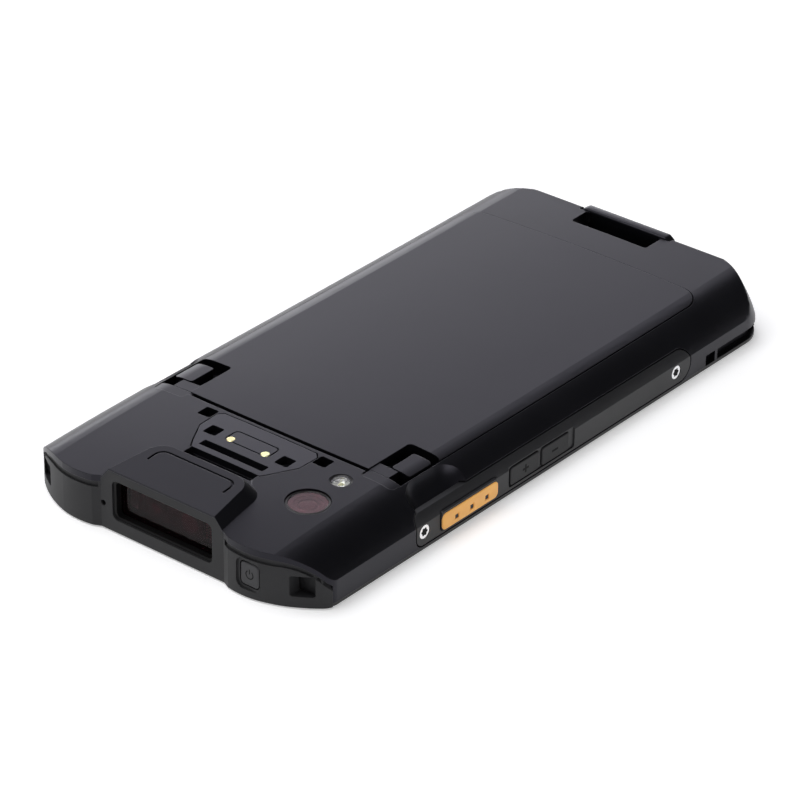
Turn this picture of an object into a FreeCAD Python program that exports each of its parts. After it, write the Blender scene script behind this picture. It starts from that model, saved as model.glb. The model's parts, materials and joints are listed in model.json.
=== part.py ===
import FreeCAD
import Part
import math
import os

V = FreeCAD.Vector

# Portable data terminal lying on its screen.
# X runs across the width, Y along the length, Z up out of the back.
# The scanner end is at -Y, the hand-strap bar at +Y, and z = 0 is the rim that
# the terminal rests on when it lies face down.

# Overall body
BODY_LENGTH = 158.0
BODY_WIDTH = 79.0
HALF_LENGTH = BODY_LENGTH / 2
HALF_BODY = BODY_WIDTH / 2
NEAR_END = -HALF_LENGTH
FAR_END = HALF_LENGTH
CROWN_HEIGHT = 13.8
CROWN_RISE = 0.6
SHOULDER_X = HALF_BODY - 10.0
SHOULDER_BULGE_X = HALF_BODY - 3.8
SHOULDER_BULGE_DROP = 2.9
SIDE_WALL_HEIGHT = 6.5
NEAR_DROP = 1.35
NEAR_DROP_START = NEAR_END + 37.0
FAR_RISE = 0.5
FAR_CORNER_R = 9.0
FAR_NECK_DEPTH = 0.5
FAR_NECK_X = 12.0
FAR_NECK_RUN = 4.5
FAR_EDGE_ROUND = 2.4
EAR_SETBACK = 1.2
BUMPER_FRAME_HALF = 0.42 * HALF_BODY
EAR_INNER_X = BUMPER_FRAME_HALF + 1.8
EAR_TIP_X = EAR_INNER_X + 3.8
EAR_BEND_X = EAR_TIP_X + 4.4
EAR_SHOULDER_X = HALF_BODY - 6.9
EAR_STEP_RUN = 1.9
WALL = 1.8
FLOOR_Z = 6.7
BAY_FLOOR = 1.0

# Front frame, lens and display
FRAME_HEIGHT = 1.3
FRAME_EDGE_CHAMFER = 0.5
FRAME_INSET = 0.15
LENS_LENGTH = BODY_LENGTH - 12.0
LENS_WIDTH = BODY_WIDTH - 7.0
LENS_CORNER_R = 5.0
LENS_RECESS = 0.35
LENS_THICKNESS = 0.9
LENS_CLEARANCE = 0.15
LENS_LEDGE = 1.6
LEDGE_THICKNESS = 0.5
RECEIVER_SLOT_LENGTH = 12.0
RECEIVER_SLOT_WIDTH = 1.4
RECEIVER_SLOT_Y = -LENS_LENGTH / 2 + 4.5
DISPLAY_LENGTH = LENS_LENGTH - 30.0
DISPLAY_WIDTH = LENS_WIDTH - 7.0
DISPLAY_THICKNESS = 1.3
FRONT_CAMERA_X = RECEIVER_SLOT_LENGTH / 2 + 11.0
FRONT_CAMERA_R = 2.1

# Chassis, board and what stands on it
MIDFRAME_THICKNESS = 0.8
BOARD_THICKNESS = 1.0
BOARD_GAP = 0.25
SHIELD_HEIGHT = 1.1
INNER_CLEARANCE = 0.25

# Battery pack
PACK_HALF_WIDTH = HALF_BODY - 7.2
PACK_NEAR_Y = NEAR_END + 37.3
PACK_NEAR_BOW = 1.2
PACK_FAR_Y = FAR_END - 17.6
PACK_CORNER_R = 5.0
SEAM_GAP = 0.25
NEAR_GAP = 0.9
PACK_PROUD = 0.12
COVER_THICKNESS = 1.5
CELL_LENGTH = PACK_FAR_Y - PACK_NEAR_Y - 25.1
CELL_WIDTH = 2 * PACK_HALF_WIDTH - 12.6
CELL_HEIGHT = 4.4
PACK_FLOOR_CLEARANCE = 0.25
TOE_WIDTH = 7.0
TOE_X = PACK_HALF_WIDTH - 15.3
TOE_REACH = 1.6
TOE_THICKNESS = 1.4
TOE_CLEARANCE = 0.35
HINGE_BELOW_BACK = 0.45

# Latches at the near corners of the pack
LATCH_INNER_X = PACK_HALF_WIDTH - 5.1
LATCH_OUTER_X = PACK_HALF_WIDTH - 0.4
LATCH_NEAR_Y = PACK_NEAR_Y + 3.1
LATCH_FAR_Y = PACK_NEAR_Y + 10.3
LATCH_TRAVEL = 1.8
LATCH_NOTCH_INNER_X = PACK_HALF_WIDTH - 8.1
LATCH_NOTCH_FAR_Y = PACK_NEAR_Y + 12.7
LATCH_NOTCH_DEPTH = 3.4
LATCH_STEM_WIDTH = 2.4
LATCH_STEM_HEIGHT = 1.2
LATCH_CLEARANCE = 0.2
LATCH_OUTER_GAP = 0.5
SCOOP_RADIUS = 8.0
SCOOP_LENGTH = 6.0
SCOOP_X = HALF_BODY - 3.3
SCOOP_Y = PACK_NEAR_Y + 6.2
SCOOP_Z = CROWN_HEIGHT - 3.2
SCOOP_BITE = 2.1

# Accessory plate with the two-pin contacts
PLATE_HALF_TOP = 13.6
PLATE_HALF_MID = 13.4
PLATE_HALF_BOTTOM = 9.2
PLATE_FAR_Y = NEAR_END + 34.3
PLATE_MID_Y = NEAR_END + 27.8
PLATE_NEAR_Y = NEAR_END + 20.4
PLATE_DEPTH = 1.6
PLATE_CORNER_R = 1.2
PLATE_GAP = 0.22
ISLAND_LENGTH = 12.0
ISLAND_WIDTH = 4.4
ISLAND_Y = PLATE_FAR_Y - 5.6
ISLAND_GROOVE = 0.35
ISLAND_GROOVE_DEPTH = 0.35
CONTACT_X = 4.65
CONTACT_Y = PLATE_FAR_Y - 6.9
CONTACT_R = 1.0
CONTACT_LENGTH = 2.4
SQUARE_HOLE = 3.3
OUTER_HOLE_X = 15.6
OUTER_HOLE_Y = PLATE_FAR_Y - 1.6
INNER_HOLE_X = 9.7
INNER_HOLE_Y = PLATE_MID_Y
HOLE_DEPTH = 2.4
INNER_SLOT_LENGTH = 17.2
INNER_SLOT_WIDTH = 1.5
INNER_SLOT_Y = PLATE_NEAR_Y + 2.6
OUTER_SLOT_LENGTH = 18.0
OUTER_SLOT_WIDTH = 1.9
OUTER_SLOT_Y = PLATE_NEAR_Y - 1.4

# Camera and flash
CAMERA_X = HALF_BODY - 16.7
CAMERA_Y = NEAR_END + 19.6
CAMERA_R = 2.9
CAMERA_RECESS = 0.45
CAMERA_GLASS_THICKNESS = 0.8
CAMERA_MODULE_SIDE = 8.0
CAMERA_MODULE_HEIGHT = 3.6
FLASH_X = CAMERA_X
FLASH_Y = CAMERA_Y + 10.2
FLASH_R = 1.7
FLASH_DEPTH = 1.8

# Scanner hump
WINDOW_HALF_WIDTH = BUMPER_FRAME_HALF - 3.1
HUMP_HALF_WIDTH_NEAR = WINDOW_HALF_WIDTH + 0.2
HUMP_HALF_WIDTH_FAR = HUMP_HALF_WIDTH_NEAR - 1.3
HUMP_FAR_Y = NEAR_END + 14.6
HUMP_CORNER_R = 4.0
HUMP_FOOT = 3.2
HUMP_NEAR_HEIGHT = 14.7
HUMP_FAR_HEIGHT = 15.9
HUMP_BASE = 12.0
GROOVE_WIDTH = 0.5
GROOVE_DEPTH = 0.35
GROOVE_HALF_LENGTH = HUMP_HALF_WIDTH_FAR - 2.0
GROOVE_FAR_Y = HUMP_FAR_Y - 1.8
GROOVE_NEAR_Y = HUMP_FAR_Y - 6.2

# Bumper round the scanner end
BUMPER_SIDE_Y = NEAR_END + 9.4
BUMPER_DEPTH = 7.0
BUMPER_UNDERCUT = 1.5
BUMPER_LIP_INSET = 0.45
BUMPER_LIP_HEIGHT = 1.3
BUMPER_TOP = 14.35
WINDOW_BOTTOM = 3.3
WINDOW_TOP = 12.5
WINDOW_CORNER_R = 1.4
WINDOW_RECESS = 2.2
WINDOW_THICKNESS = 1.0
GASKET_WIDTH = 0.9
GASKET_THICKNESS = 0.8
MIC_X = -BUMPER_FRAME_HALF + 0.6
MIC_Z = 6.2
MIC_R = 0.65
EAR_POCKET_X = HALF_BODY - 5.0
EAR_POCKET_WIDTH = 4.4
EAR_POCKET_BOTTOM = 2.9
EAR_POCKET_TOP = 7.6
EAR_POCKET_REACH = 3.4

# Power button in the right ear
POWER_X = EAR_TIP_X + 1.9
POWER_Z = 5.6
POWER_WIDTH = 4.7
POWER_HEIGHT = 5.3
POWER_RECESS = 0.35
POWER_LENGTH = 2.2
POWER_TRAVEL = 0.4

# Scan engine behind the window
ENGINE_WIDTH = 2 * WINDOW_HALF_WIDTH - 5.0
ENGINE_LENGTH = 10.6
ENGINE_HEIGHT = 7.6
ENGINE_LENS_R = 2.6
ENGINE_LENS_X = 4.2
ENGINE_LENS_LENGTH = 1.2
AIMER_R = 1.5
AIMER_X = -4.6

# Key strips on the long sides
STRIP_NEAR_Y = NEAR_END + 34.0
STRIP_FAR_Y = FAR_END - 30.7
STRIP_BOTTOM = 1.7
STRIP_TOP = 8.8
STRIP_NEAR_R = 2.0
STRIP_FAR_R = 3.5
STRIP_GAP = 0.3
STRIP_SEAT_DEPTH = 2.7
STRIP_LIP = 0.3
STRIP_LIP_WIDTH = 2.2
STRIP_LIP_RISE = 0.9
KEY_TRAVEL = 0.4
KEY_GAP = 0.18
KEY_FLANGE = 0.35
KEY_FLANGE_THICKNESS = 0.6
KEY_LENGTH = 1.9
KEY_CORNER_R = 0.7
TRIGGER_NEAR_Y = STRIP_NEAR_Y + 7.6
TRIGGER_FAR_Y = TRIGGER_NEAR_Y + 18.2
TRIGGER_BOTTOM = 2.4
TRIGGER_TOP = 6.9
TRIGGER_PROUD = 0.3
VOLUME_NEAR_Y = STRIP_NEAR_Y + 30.4
VOLUME_SPLIT_Y = VOLUME_NEAR_Y + 10.1
VOLUME_FAR_Y = VOLUME_NEAR_Y + 19.8
VOLUME_BOTTOM = 2.5
VOLUME_TOP = 6.7
VOLUME_RECESS_FAR_Y = VOLUME_FAR_Y + 1.9
VOLUME_RECESS_MARGIN = 0.6
VOLUME_RECESS_DEPTH = 0.3
SWITCH_THICKNESS = 0.5
DOME_HEIGHT = 0.2
STRIP_SCREW_Y = (STRIP_NEAR_Y + 2.5, STRIP_FAR_Y - 5.1)
STRIP_SCREW_Z = 4.6
SCREW_HEAD_R = 1.55
SCREW_HEAD_LENGTH = 1.2
SCREW_SHANK_R = 0.8
SCREW_SHANK_LENGTH = 3.0
SCREW_DRIVE_R = 0.75
SCREW_DRIVE_DEPTH = 0.5
SCREW_RECESS = 0.1

# Strap bar and slot at the far end
STRAP_SLOT_HALF = 10.4
STRAP_SLOT_NEAR_Y = FAR_END - 8.6
STRAP_BAR_NEAR_Y = FAR_END - 2.6
STRAP_SLOT_FLOOR = 6.9
STRAP_BAR_BOTTOM = 11.5
STRAP_BAR_TOP = 14.7
STRAP_BAR_HALF = 12.6
STRAP_RAMP_START_X = -2.6
STRAP_RAMP_RUN = 2.4
STRAP_RAMP_DROP = 2.6

# Guide slots at the far corners
GUIDE_NEAR_Y = FAR_END - 24.8
GUIDE_DIVIDER_Y = FAR_END - 21.4
GUIDE_DIVIDER = 0.9
GUIDE_FAR_Y = FAR_END - 3.5
GUIDE_BOTTOM = FRAME_HEIGHT
GUIDE_TOP = 4.0
GUIDE_DEPTH = 1.5

# Dock connector and speaker at the far end
DOCK_WIDTH = 22.0
DOCK_HEIGHT = 3.0
DOCK_DEPTH = 5.0
DOCK_BOTTOM = 2.1
PORT_WIDTH = 9.0
PORT_HEIGHT = 2.6
PORT_DEPTH = 3.2
SPEAKER_WIDTH = 14.0
SPEAKER_LENGTH = 9.0
SPEAKER_HEIGHT = 2.4

# Small hardware
HOUSING_SCREW_X = PACK_HALF_WIDTH - 3.3
HOUSING_SCREW_Y = (PACK_NEAR_Y + 21.7, PACK_FAR_Y - 11.4)
TERMINAL_COUNT = 4
TERMINAL_PITCH = 2.6
TERMINAL_WIDTH = 1.2
TERMINAL_LENGTH = 4.0
TERMINAL_Y = PACK_NEAR_Y + 17.7
VIBRATOR_R = 4.0
VIBRATOR_HEIGHT = 2.2

# Places worked out from the sizes above
HALF_WIDTH = HALF_BODY - STRIP_LIP
SEAT_X = HALF_WIDTH - STRIP_SEAT_DEPTH
FRAME_LINE_Y = NEAR_END + EAR_SETBACK
WINDOW_FACE_Y = FRAME_LINE_Y + WINDOW_RECESS
ENGINE_NEAR_Y = WINDOW_FACE_Y + WINDOW_THICKNESS + GASKET_THICKNESS
ENGINE_FAR_Y = ENGINE_NEAR_Y + ENGINE_LENGTH
POWER_FACE_Y = NEAR_END + POWER_RECESS
CAVITY_TOP = FLOOR_Z
PACK_BOTTOM = FLOOR_Z + BAY_FLOOR + PACK_FLOOR_CLEARANCE
HINGE_Z = CROWN_HEIGHT - HINGE_BELOW_BACK
DISPLAY_BOTTOM = LENS_RECESS + LENS_THICKNESS
DISPLAY_TOP = DISPLAY_BOTTOM + DISPLAY_THICKNESS
MIDFRAME_TOP = DISPLAY_TOP + MIDFRAME_THICKNESS
BOARD_BOTTOM = MIDFRAME_TOP + BOARD_GAP
BOARD_TOP = BOARD_BOTTOM + BOARD_THICKNESS


def box(x0, x1, y0, y1, z0, z1):
    """A block between two corners."""
    return Part.makeBox(x1 - x0, y1 - y0, z1 - z0, V(x0, y0, z0))


def arc(start, middle, end):
    """An arc edge through three points."""
    return Part.Arc(start, middle, end).toShape()


def line(start, end):
    """A straight edge between two points."""
    return Part.LineSegment(start, end).toShape()


def mirrored(shape):
    """The same shape on the other side of the centre line."""
    return shape.mirror(V(0, 0, 0), V(1, 0, 0))


def rounded_outline(width, height, radii, place):
    """A closed outline of a rectangle with its own radius at each corner.

    The corners run anticlockwise from the low left one, and place turns the
    outline's own (u, v) into a point in space.
    """
    centres = (
        (radii[0], radii[0], radii[0]),
        (width - radii[1], radii[1], radii[1]),
        (width - radii[2], height - radii[2], radii[2]),
        (radii[3], height - radii[3], radii[3]),
    )
    edges = []
    first = None
    last = None
    for turn, (u, v, radius) in enumerate(centres):
        points = []
        for step in range(3):
            angle = math.radians(180 + 90 * turn + 45 * step)
            points.append(place(u + radius * math.cos(angle), v + radius * math.sin(angle)))
        if last is not None and last.distanceToPoint(points[0]) > 1e-6:
            edges.append(line(last, points[0]))
        edges.append(arc(*points))
        first = first or points[0]
        last = points[2]
    if last.distanceToPoint(first) > 1e-6:
        edges.append(line(last, first))
    return Part.Wire(edges)


def flat_block(x0, x1, y0, y1, z0, z1, radius):
    """A block with its four upright edges rounded."""
    wire = rounded_outline(x1 - x0, y1 - y0, (radius,) * 4, lambda u, v: V(x0 + u, y0 + v, z0))
    return Part.Face(wire).extrude(V(0, 0, z1 - z0))


def front_block(x0, x1, z0, z1, y0, y1, radius):
    """A block with its four edges along Y rounded."""
    wire = rounded_outline(x1 - x0, z1 - z0, (radius,) * 4, lambda u, v: V(x0 + u, y0, z0 + v))
    return Part.Face(wire).extrude(V(0, y1 - y0, 0))


def side_block(y0, y1, z0, z1, x0, x1, radii):
    """A block with its four edges along X rounded, each by its own radius."""
    wire = rounded_outline(y1 - y0, z1 - z0, radii, lambda u, v: V(x0, y0 + u, z0 + v))
    return Part.Face(wire).extrude(V(x1 - x0, 0, 0))


def fuse_all(shapes):
    """One shape from several that touch."""
    first = shapes[0]
    return first.fuse(shapes[1:]).removeSplitter() if len(shapes) > 1 else first


def back_drop(y):
    """How far the back lies below its middle height at a place along Y."""
    if y < NEAR_DROP_START:
        run = (NEAR_DROP_START - y) / (HALF_LENGTH + NEAR_DROP_START)
        return NEAR_DROP * run ** 2
    if y > 0:
        return -FAR_RISE * (y / HALF_LENGTH) ** 2
    return 0.0


def back_section(y, lower, grow):
    """The body's cross-section at y, sunk by lower and widened by grow."""
    drop = back_drop(y) + lower
    side = HALF_WIDTH + grow
    wall_top = SIDE_WALL_HEIGHT - 0.2 * back_drop(y) - lower
    shoulder = CROWN_HEIGHT - CROWN_RISE - drop + grow
    bulge = V(SHOULDER_BULGE_X + grow, y, CROWN_HEIGHT - SHOULDER_BULGE_DROP - 0.8 * drop + grow)
    corner = V(side, y, wall_top)
    start = V(SHOULDER_X, y, shoulder)
    crown = V(0, y, CROWN_HEIGHT - drop + grow)
    left_bulge = V(-bulge.x, y, bulge.z)
    left_corner = V(-side, y, wall_top)
    left_start = V(-SHOULDER_X, y, shoulder)
    low_right = V(side, y, -2)
    low_left = V(-side, y, -2)
    edges = [
        line(low_left, low_right),
        line(low_right, corner),
        arc(corner, bulge, start),
        arc(start, crown, left_start),
        arc(left_start, left_bulge, left_corner),
        line(left_corner, low_left),
    ]
    return Part.Wire(edges)


def back_loft(lower=0.0, grow=0.0):
    """The crowned body as one long solid, before its outline is cut."""
    near = -HALF_LENGTH - 3
    far = HALF_LENGTH + 3
    stations = (near, NEAR_END + 18.0, NEAR_DROP_START, 0.0, 0.5 * HALF_LENGTH, far)
    return Part.makeLoft([back_section(y, lower, grow) for y in stations], True, False)


def plan_outline(z, inset=0.0):
    """The terminal's outline seen from the back, at height z."""
    side = HALF_WIDTH - inset
    ear_y = -HALF_LENGTH + inset
    frame_y = FRAME_LINE_Y + inset
    far_y = HALF_LENGTH - inset
    corner = FAR_CORNER_R - inset
    right = [
        V(BUMPER_FRAME_HALF, frame_y, z),
        V(EAR_INNER_X, ear_y + 0.35, z),
        V(EAR_TIP_X, ear_y, z),
        V(EAR_BEND_X, ear_y + 0.55, z),
        V(EAR_SHOULDER_X, ear_y + 2.95, z),
        V(side - 1.4, ear_y + 6.5, z),
        V(side - 0.35, ear_y + 7.9, z),
        V(side, ear_y + 9.9, z),
        V(side, far_y - corner, z),
        V(side - corner * (1 - math.sqrt(0.5)), far_y - corner * (1 - math.sqrt(0.5)), z),
        V(side - corner, far_y, z),
        V(FAR_NECK_X + FAR_NECK_RUN, far_y, z),
        V(FAR_NECK_X + 0.7 * FAR_NECK_RUN, far_y - 0.2 * FAR_NECK_DEPTH, z),
        V(FAR_NECK_X, far_y - FAR_NECK_DEPTH, z),
    ]
    left = [V(-point.x, point.y, z) for point in right]

    def half(points):
        return [
            line(points[0], points[1]),
            arc(points[1], points[2], points[3]),
            arc(points[3], points[4], points[5]),
            arc(points[5], points[6], points[7]),
            line(points[7], points[8]),
            arc(points[8], points[9], points[10]),
            line(points[10], points[11]),
            arc(points[11], points[12], points[13]),
        ]

    far_line = line(right[-1], left[-1])
    near_line = line(left[0], right[0])
    return Part.Wire(half(right) + [far_line] + half(left)[::-1] + [near_line])


def plan_prism(z0, z1, inset=0.0):
    """The outline as a straight block between two heights."""
    return Part.Face(plan_outline(z0, inset)).extrude(V(0, 0, z1 - z0))


def pack_outline(z, grow=0.0, near_grow=None):
    """The battery pack's outline: bowed near edge, rounded far corners."""
    near_grow = grow if near_grow is None else near_grow
    half = PACK_HALF_WIDTH + grow
    near = PACK_NEAR_Y - near_grow
    far = PACK_FAR_Y + grow
    radius = PACK_CORNER_R + grow
    cut = radius * (1 - math.sqrt(0.5))
    edges = [
        arc(V(-half, near, z), V(0, near - PACK_NEAR_BOW, z), V(half, near, z)),
        line(V(half, near, z), V(half, far - radius, z)),
        arc(V(half, far - radius, z), V(half - cut, far - cut, z), V(half - radius, far, z)),
        line(V(half - radius, far, z), V(-half + radius, far, z)),
        arc(V(-half + radius, far, z), V(-half + cut, far - cut, z), V(-half, far - radius, z)),
        line(V(-half, far - radius, z), V(-half, near, z)),
    ]
    return Part.Wire(edges)


def pack_prism(z0, z1, grow=0.0, near_grow=None):
    """The pack's outline as a straight block between two heights."""
    return Part.Face(pack_outline(z0, grow, near_grow)).extrude(V(0, 0, z1 - z0))


def accessory_outline(z, grow):
    """The trapezoid of the accessory plate, with its corners cut back."""
    cut = PLATE_CORNER_R
    top = PLATE_HALF_TOP + grow
    mid = PLATE_HALF_MID + grow
    bottom = PLATE_HALF_BOTTOM + grow
    right = [
        V(top - cut, PLATE_FAR_Y + grow, z),
        V(top, PLATE_FAR_Y + grow - cut, z),
        V(mid, PLATE_MID_Y, z),
        V(bottom + cut, PLATE_NEAR_Y - grow + 1.6 * cut, z),
        V(bottom, PLATE_NEAR_Y - grow, z),
    ]
    left = [V(-point.x, point.y, z) for point in reversed(right)]
    return Part.makePolygon(right + left + [right[0]])


def accessory_prism(z0, z1, grow=0.0):
    """The accessory plate's outline as a straight block."""
    return Part.Face(accessory_outline(z0, grow)).extrude(V(0, 0, z1 - z0))


def hump_outline(z, grow):
    """The hump's outline at one height, wider by grow at its foot."""
    near = -HALF_LENGTH - 2
    half_near = HUMP_HALF_WIDTH_NEAR + grow
    half_far = HUMP_HALF_WIDTH_FAR + grow
    far = HUMP_FAR_Y + grow
    radius = HUMP_CORNER_R + 0.5 * grow
    bend = radius * (1 - math.sqrt(0.5))
    edges = [
        line(V(-half_near, near, z), V(half_near, near, z)),
        line(V(half_near, near, z), V(half_far, far - radius, z)),
        arc(V(half_far, far - radius, z), V(half_far - bend, far - bend, z), V(half_far - radius, far, z)),
        line(V(half_far - radius, far, z), V(-half_far + radius, far, z)),
        arc(V(-half_far + radius, far, z), V(-half_far + bend, far - bend, z), V(-half_far, far - radius, z)),
        line(V(-half_far, far - radius, z), V(-half_near, near, z)),
    ]
    return Part.Wire(edges)


def hump_block():
    """The raised scanner boss, with sloping sides and a top that falls to the window."""
    tall = HUMP_FAR_HEIGHT + 1.5
    rise = tall - HUMP_BASE
    foot = HUMP_FOOT * rise / (HUMP_FAR_HEIGHT - HUMP_BASE)
    top_shrink = foot - HUMP_FOOT
    body = Part.makeLoft([hump_outline(HUMP_BASE, HUMP_FOOT), hump_outline(tall, -top_shrink)], True, True)
    near = -HALF_LENGTH - 3
    slope = (HUMP_FAR_HEIGHT - HUMP_NEAR_HEIGHT) / (HUMP_FAR_Y + HALF_LENGTH)
    near_top = HUMP_FAR_HEIGHT - slope * (HUMP_FAR_Y - near)
    far = HUMP_FAR_Y + 6
    far_top = HUMP_FAR_HEIGHT + slope * 6
    profile = Part.makePolygon([
        V(-BODY_WIDTH, near, 0),
        V(-BODY_WIDTH, far, 0),
        V(-BODY_WIDTH, far, far_top),
        V(-BODY_WIDTH, near, near_top),
        V(-BODY_WIDTH, near, 0),
    ])
    under = Part.Face(profile).extrude(V(2 * BODY_WIDTH, 0, 0))
    return body.common(under)


def bumper_space(grow=0.0):
    """Everything that the bumper takes out of the scanner end."""
    shallow = box(-60, 60, -HALF_LENGTH - 5, BUMPER_SIDE_Y + grow, -3, 40)
    under_lip = back_loft(BUMPER_UNDERCUT - grow).common(shallow)
    core = box(-60, 60, FRAME_LINE_Y + BUMPER_DEPTH, 90, -5, 45)
    frame = box(
        -BUMPER_FRAME_HALF - grow, BUMPER_FRAME_HALF + grow,
        -HALF_LENGTH - 5, FRAME_LINE_Y + WINDOW_RECESS + 1.6 + grow,
        -3, BUMPER_TOP + grow)
    under_hump = hump_block().fuse(back_loft(0.3)).translated(V(0, 0, -0.4 + grow))
    frame = frame.common(under_hump)
    return under_lip.cut(core).fuse(frame)


def lens_zone():
    """The low part of the scanner end that the front frame and its glass keep."""
    half_x = LENS_WIDTH / 2 + 0.6
    half_y = LENS_LENGTH / 2 + 0.6
    return flat_block(-half_x, half_x, -half_y, half_y, -3, FRAME_HEIGHT + 0.2, LENS_CORNER_R + 0.6)


def strip_zone(x0, x1, grow=0.0):
    """The side view of a key strip as a block along X."""
    radii = (
        STRIP_NEAR_R + grow,
        STRIP_FAR_R + grow,
        STRIP_FAR_R + grow,
        STRIP_NEAR_R + grow,
    )
    return side_block(
        STRIP_NEAR_Y - grow, STRIP_FAR_Y + grow,
        STRIP_BOTTOM - grow, STRIP_TOP + grow,
        x0, x1, radii)


def lip_zone(x0, x1):
    """The side view of the raised lip round a key strip."""
    radii = (0.6, STRIP_FAR_R + STRIP_LIP_RISE, STRIP_FAR_R + STRIP_LIP_RISE, STRIP_NEAR_R + STRIP_LIP_WIDTH)
    return side_block(
        STRIP_NEAR_Y - STRIP_LIP_WIDTH, STRIP_FAR_Y + STRIP_LIP_WIDTH,
        FRAME_HEIGHT, STRIP_TOP + STRIP_LIP_RISE,
        x0, x1, radii)


def key_zone(near, far, bottom, top, x0, x1, grow):
    """A side key's rounded outline as a block along X."""
    radius = KEY_CORNER_R + max(grow, 0)
    return side_block(near - grow, far + grow, bottom - grow, top + grow, x0, x1, (radius,) * 4)


def side_key(near, far, bottom, top, proud):
    """A key with its flange, at rest against the inside of the strip."""
    foot = HALF_WIDTH - KEY_LENGTH
    cap = key_zone(near, far, bottom, top, foot, HALF_WIDTH + proud, 0)
    flange = key_zone(near, far, bottom, top, foot, foot + KEY_FLANGE_THICKNESS, KEY_FLANGE)
    key = cap.fuse(flange).removeSplitter()
    crown = [edge for edge in key.Edges if edge.BoundBox.XMin > HALF_WIDTH + proud - 0.01]
    return key.makeFillet(0.25, crown)


def side_key_pocket(near, far, bottom, top):
    """The way through the strip for one key and its flange."""
    foot = HALF_WIDTH - KEY_LENGTH
    shaft = key_zone(near, far, bottom, top, SEAT_X - 1, HALF_WIDTH + 2, KEY_GAP)
    relief = key_zone(
        near, far, bottom, top, SEAT_X - 1, foot + KEY_FLANGE_THICKNESS + 0.05, KEY_FLANGE + KEY_GAP)
    return shaft.fuse(relief)


RIGHT_KEYS = {
    "scan_trigger_right": (TRIGGER_NEAR_Y, TRIGGER_FAR_Y, TRIGGER_BOTTOM, TRIGGER_TOP, TRIGGER_PROUD),
    "volume_up_key": (VOLUME_NEAR_Y, VOLUME_SPLIT_Y - 0.45, VOLUME_BOTTOM, VOLUME_TOP, 0.0),
    "volume_down_key": (VOLUME_SPLIT_Y + 0.45, VOLUME_FAR_Y, VOLUME_BOTTOM, VOLUME_TOP, 0.0),
}
LEFT_KEYS = {
    "scan_trigger_left": (TRIGGER_NEAR_Y, TRIGGER_FAR_Y, TRIGGER_BOTTOM, TRIGGER_TOP, TRIGGER_PROUD),
    "talk_button": (VOLUME_NEAR_Y, VOLUME_FAR_Y, VOLUME_BOTTOM, VOLUME_TOP, 0.0),
}


def volume_keys_recess():
    """The shallow hollow that the volume keys share."""
    return key_zone(
        VOLUME_NEAR_Y - VOLUME_RECESS_MARGIN, VOLUME_RECESS_FAR_Y,
        VOLUME_BOTTOM - 0.2, VOLUME_TOP + VOLUME_RECESS_MARGIN,
        HALF_WIDTH - VOLUME_RECESS_DEPTH, HALF_WIDTH + 2, 0)


def strip_screw(y):
    """A torx screw through the strip into the housing, pointing inwards."""
    face = HALF_WIDTH - SCREW_RECESS
    head = Part.makeCylinder(
        SCREW_HEAD_R, SCREW_HEAD_LENGTH, V(face - SCREW_HEAD_LENGTH, y, STRIP_SCREW_Z), V(1, 0, 0))
    shank = Part.makeCylinder(
        SCREW_SHANK_R, SCREW_SHANK_LENGTH,
        V(face - SCREW_HEAD_LENGTH - SCREW_SHANK_LENGTH, y, STRIP_SCREW_Z), V(1, 0, 0))
    lobes = []
    for turn in range(6):
        angle = math.radians(60 * turn)
        centre = V(
            face - SCREW_DRIVE_DEPTH,
            y + 0.5 * SCREW_DRIVE_R * math.cos(angle),
            STRIP_SCREW_Z + 0.5 * SCREW_DRIVE_R * math.sin(angle))
        lobes.append(Part.makeCylinder(0.38 * SCREW_DRIVE_R, 2, centre, V(1, 0, 0)))
    return head.fuse(shank).cut(fuse_all(lobes))


def screw_clearance(y):
    """The hole for one strip screw."""
    face = HALF_WIDTH - SCREW_RECESS
    head = Part.makeCylinder(
        SCREW_HEAD_R + 0.05, SCREW_HEAD_LENGTH + 3, V(face - SCREW_HEAD_LENGTH, y, STRIP_SCREW_Z), V(1, 0, 0))
    shank = Part.makeCylinder(
        SCREW_SHANK_R + 0.02, SCREW_SHANK_LENGTH + 0.5,
        V(face - SCREW_HEAD_LENGTH - SCREW_SHANK_LENGTH, y, STRIP_SCREW_Z), V(1, 0, 0))
    return head.fuse(shank)


def key_strip(keys, with_volume_recess):
    """The right-hand strip with its key openings and screw holes."""
    strip = BACK.common(strip_zone(SEAT_X, HALF_WIDTH + 3))
    for near, far, bottom, top, _ in keys.values():
        strip = strip.cut(side_key_pocket(near, far, bottom, top))
    if with_volume_recess:
        strip = strip.cut(volume_keys_recess())
    for y in STRIP_SCREW_Y:
        strip = strip.cut(screw_clearance(y))
    return strip


def key_switches(keys):
    """The switch tape behind a strip, with one dome under each key."""
    tape = box(
        SEAT_X - SWITCH_THICKNESS, SEAT_X,
        TRIGGER_NEAR_Y, VOLUME_FAR_Y, VOLUME_BOTTOM + 0.6, VOLUME_TOP - 0.6)
    domes = [tape]
    for near, far, bottom, top, _ in keys.values():
        place = V(SEAT_X - 0.1, (near + far) / 2, (bottom + top) / 2)
        domes.append(Part.makeCylinder(1.3, DOME_HEIGHT + 0.1, place, V(1, 0, 0)))
    return fuse_all(domes)


def notch(side):
    """The notch round one latch, cut through the pack and down beside it."""
    near = PACK_NEAR_Y - PACK_NEAR_BOW - 2
    block = flat_block(
        LATCH_NOTCH_INNER_X, LATCH_OUTER_X + LATCH_OUTER_GAP, near, LATCH_NOTCH_FAR_Y,
        CROWN_HEIGHT - CROWN_RISE - LATCH_NOTCH_DEPTH, 20, 1.0)
    return block if side > 0 else mirrored(block)


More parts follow.
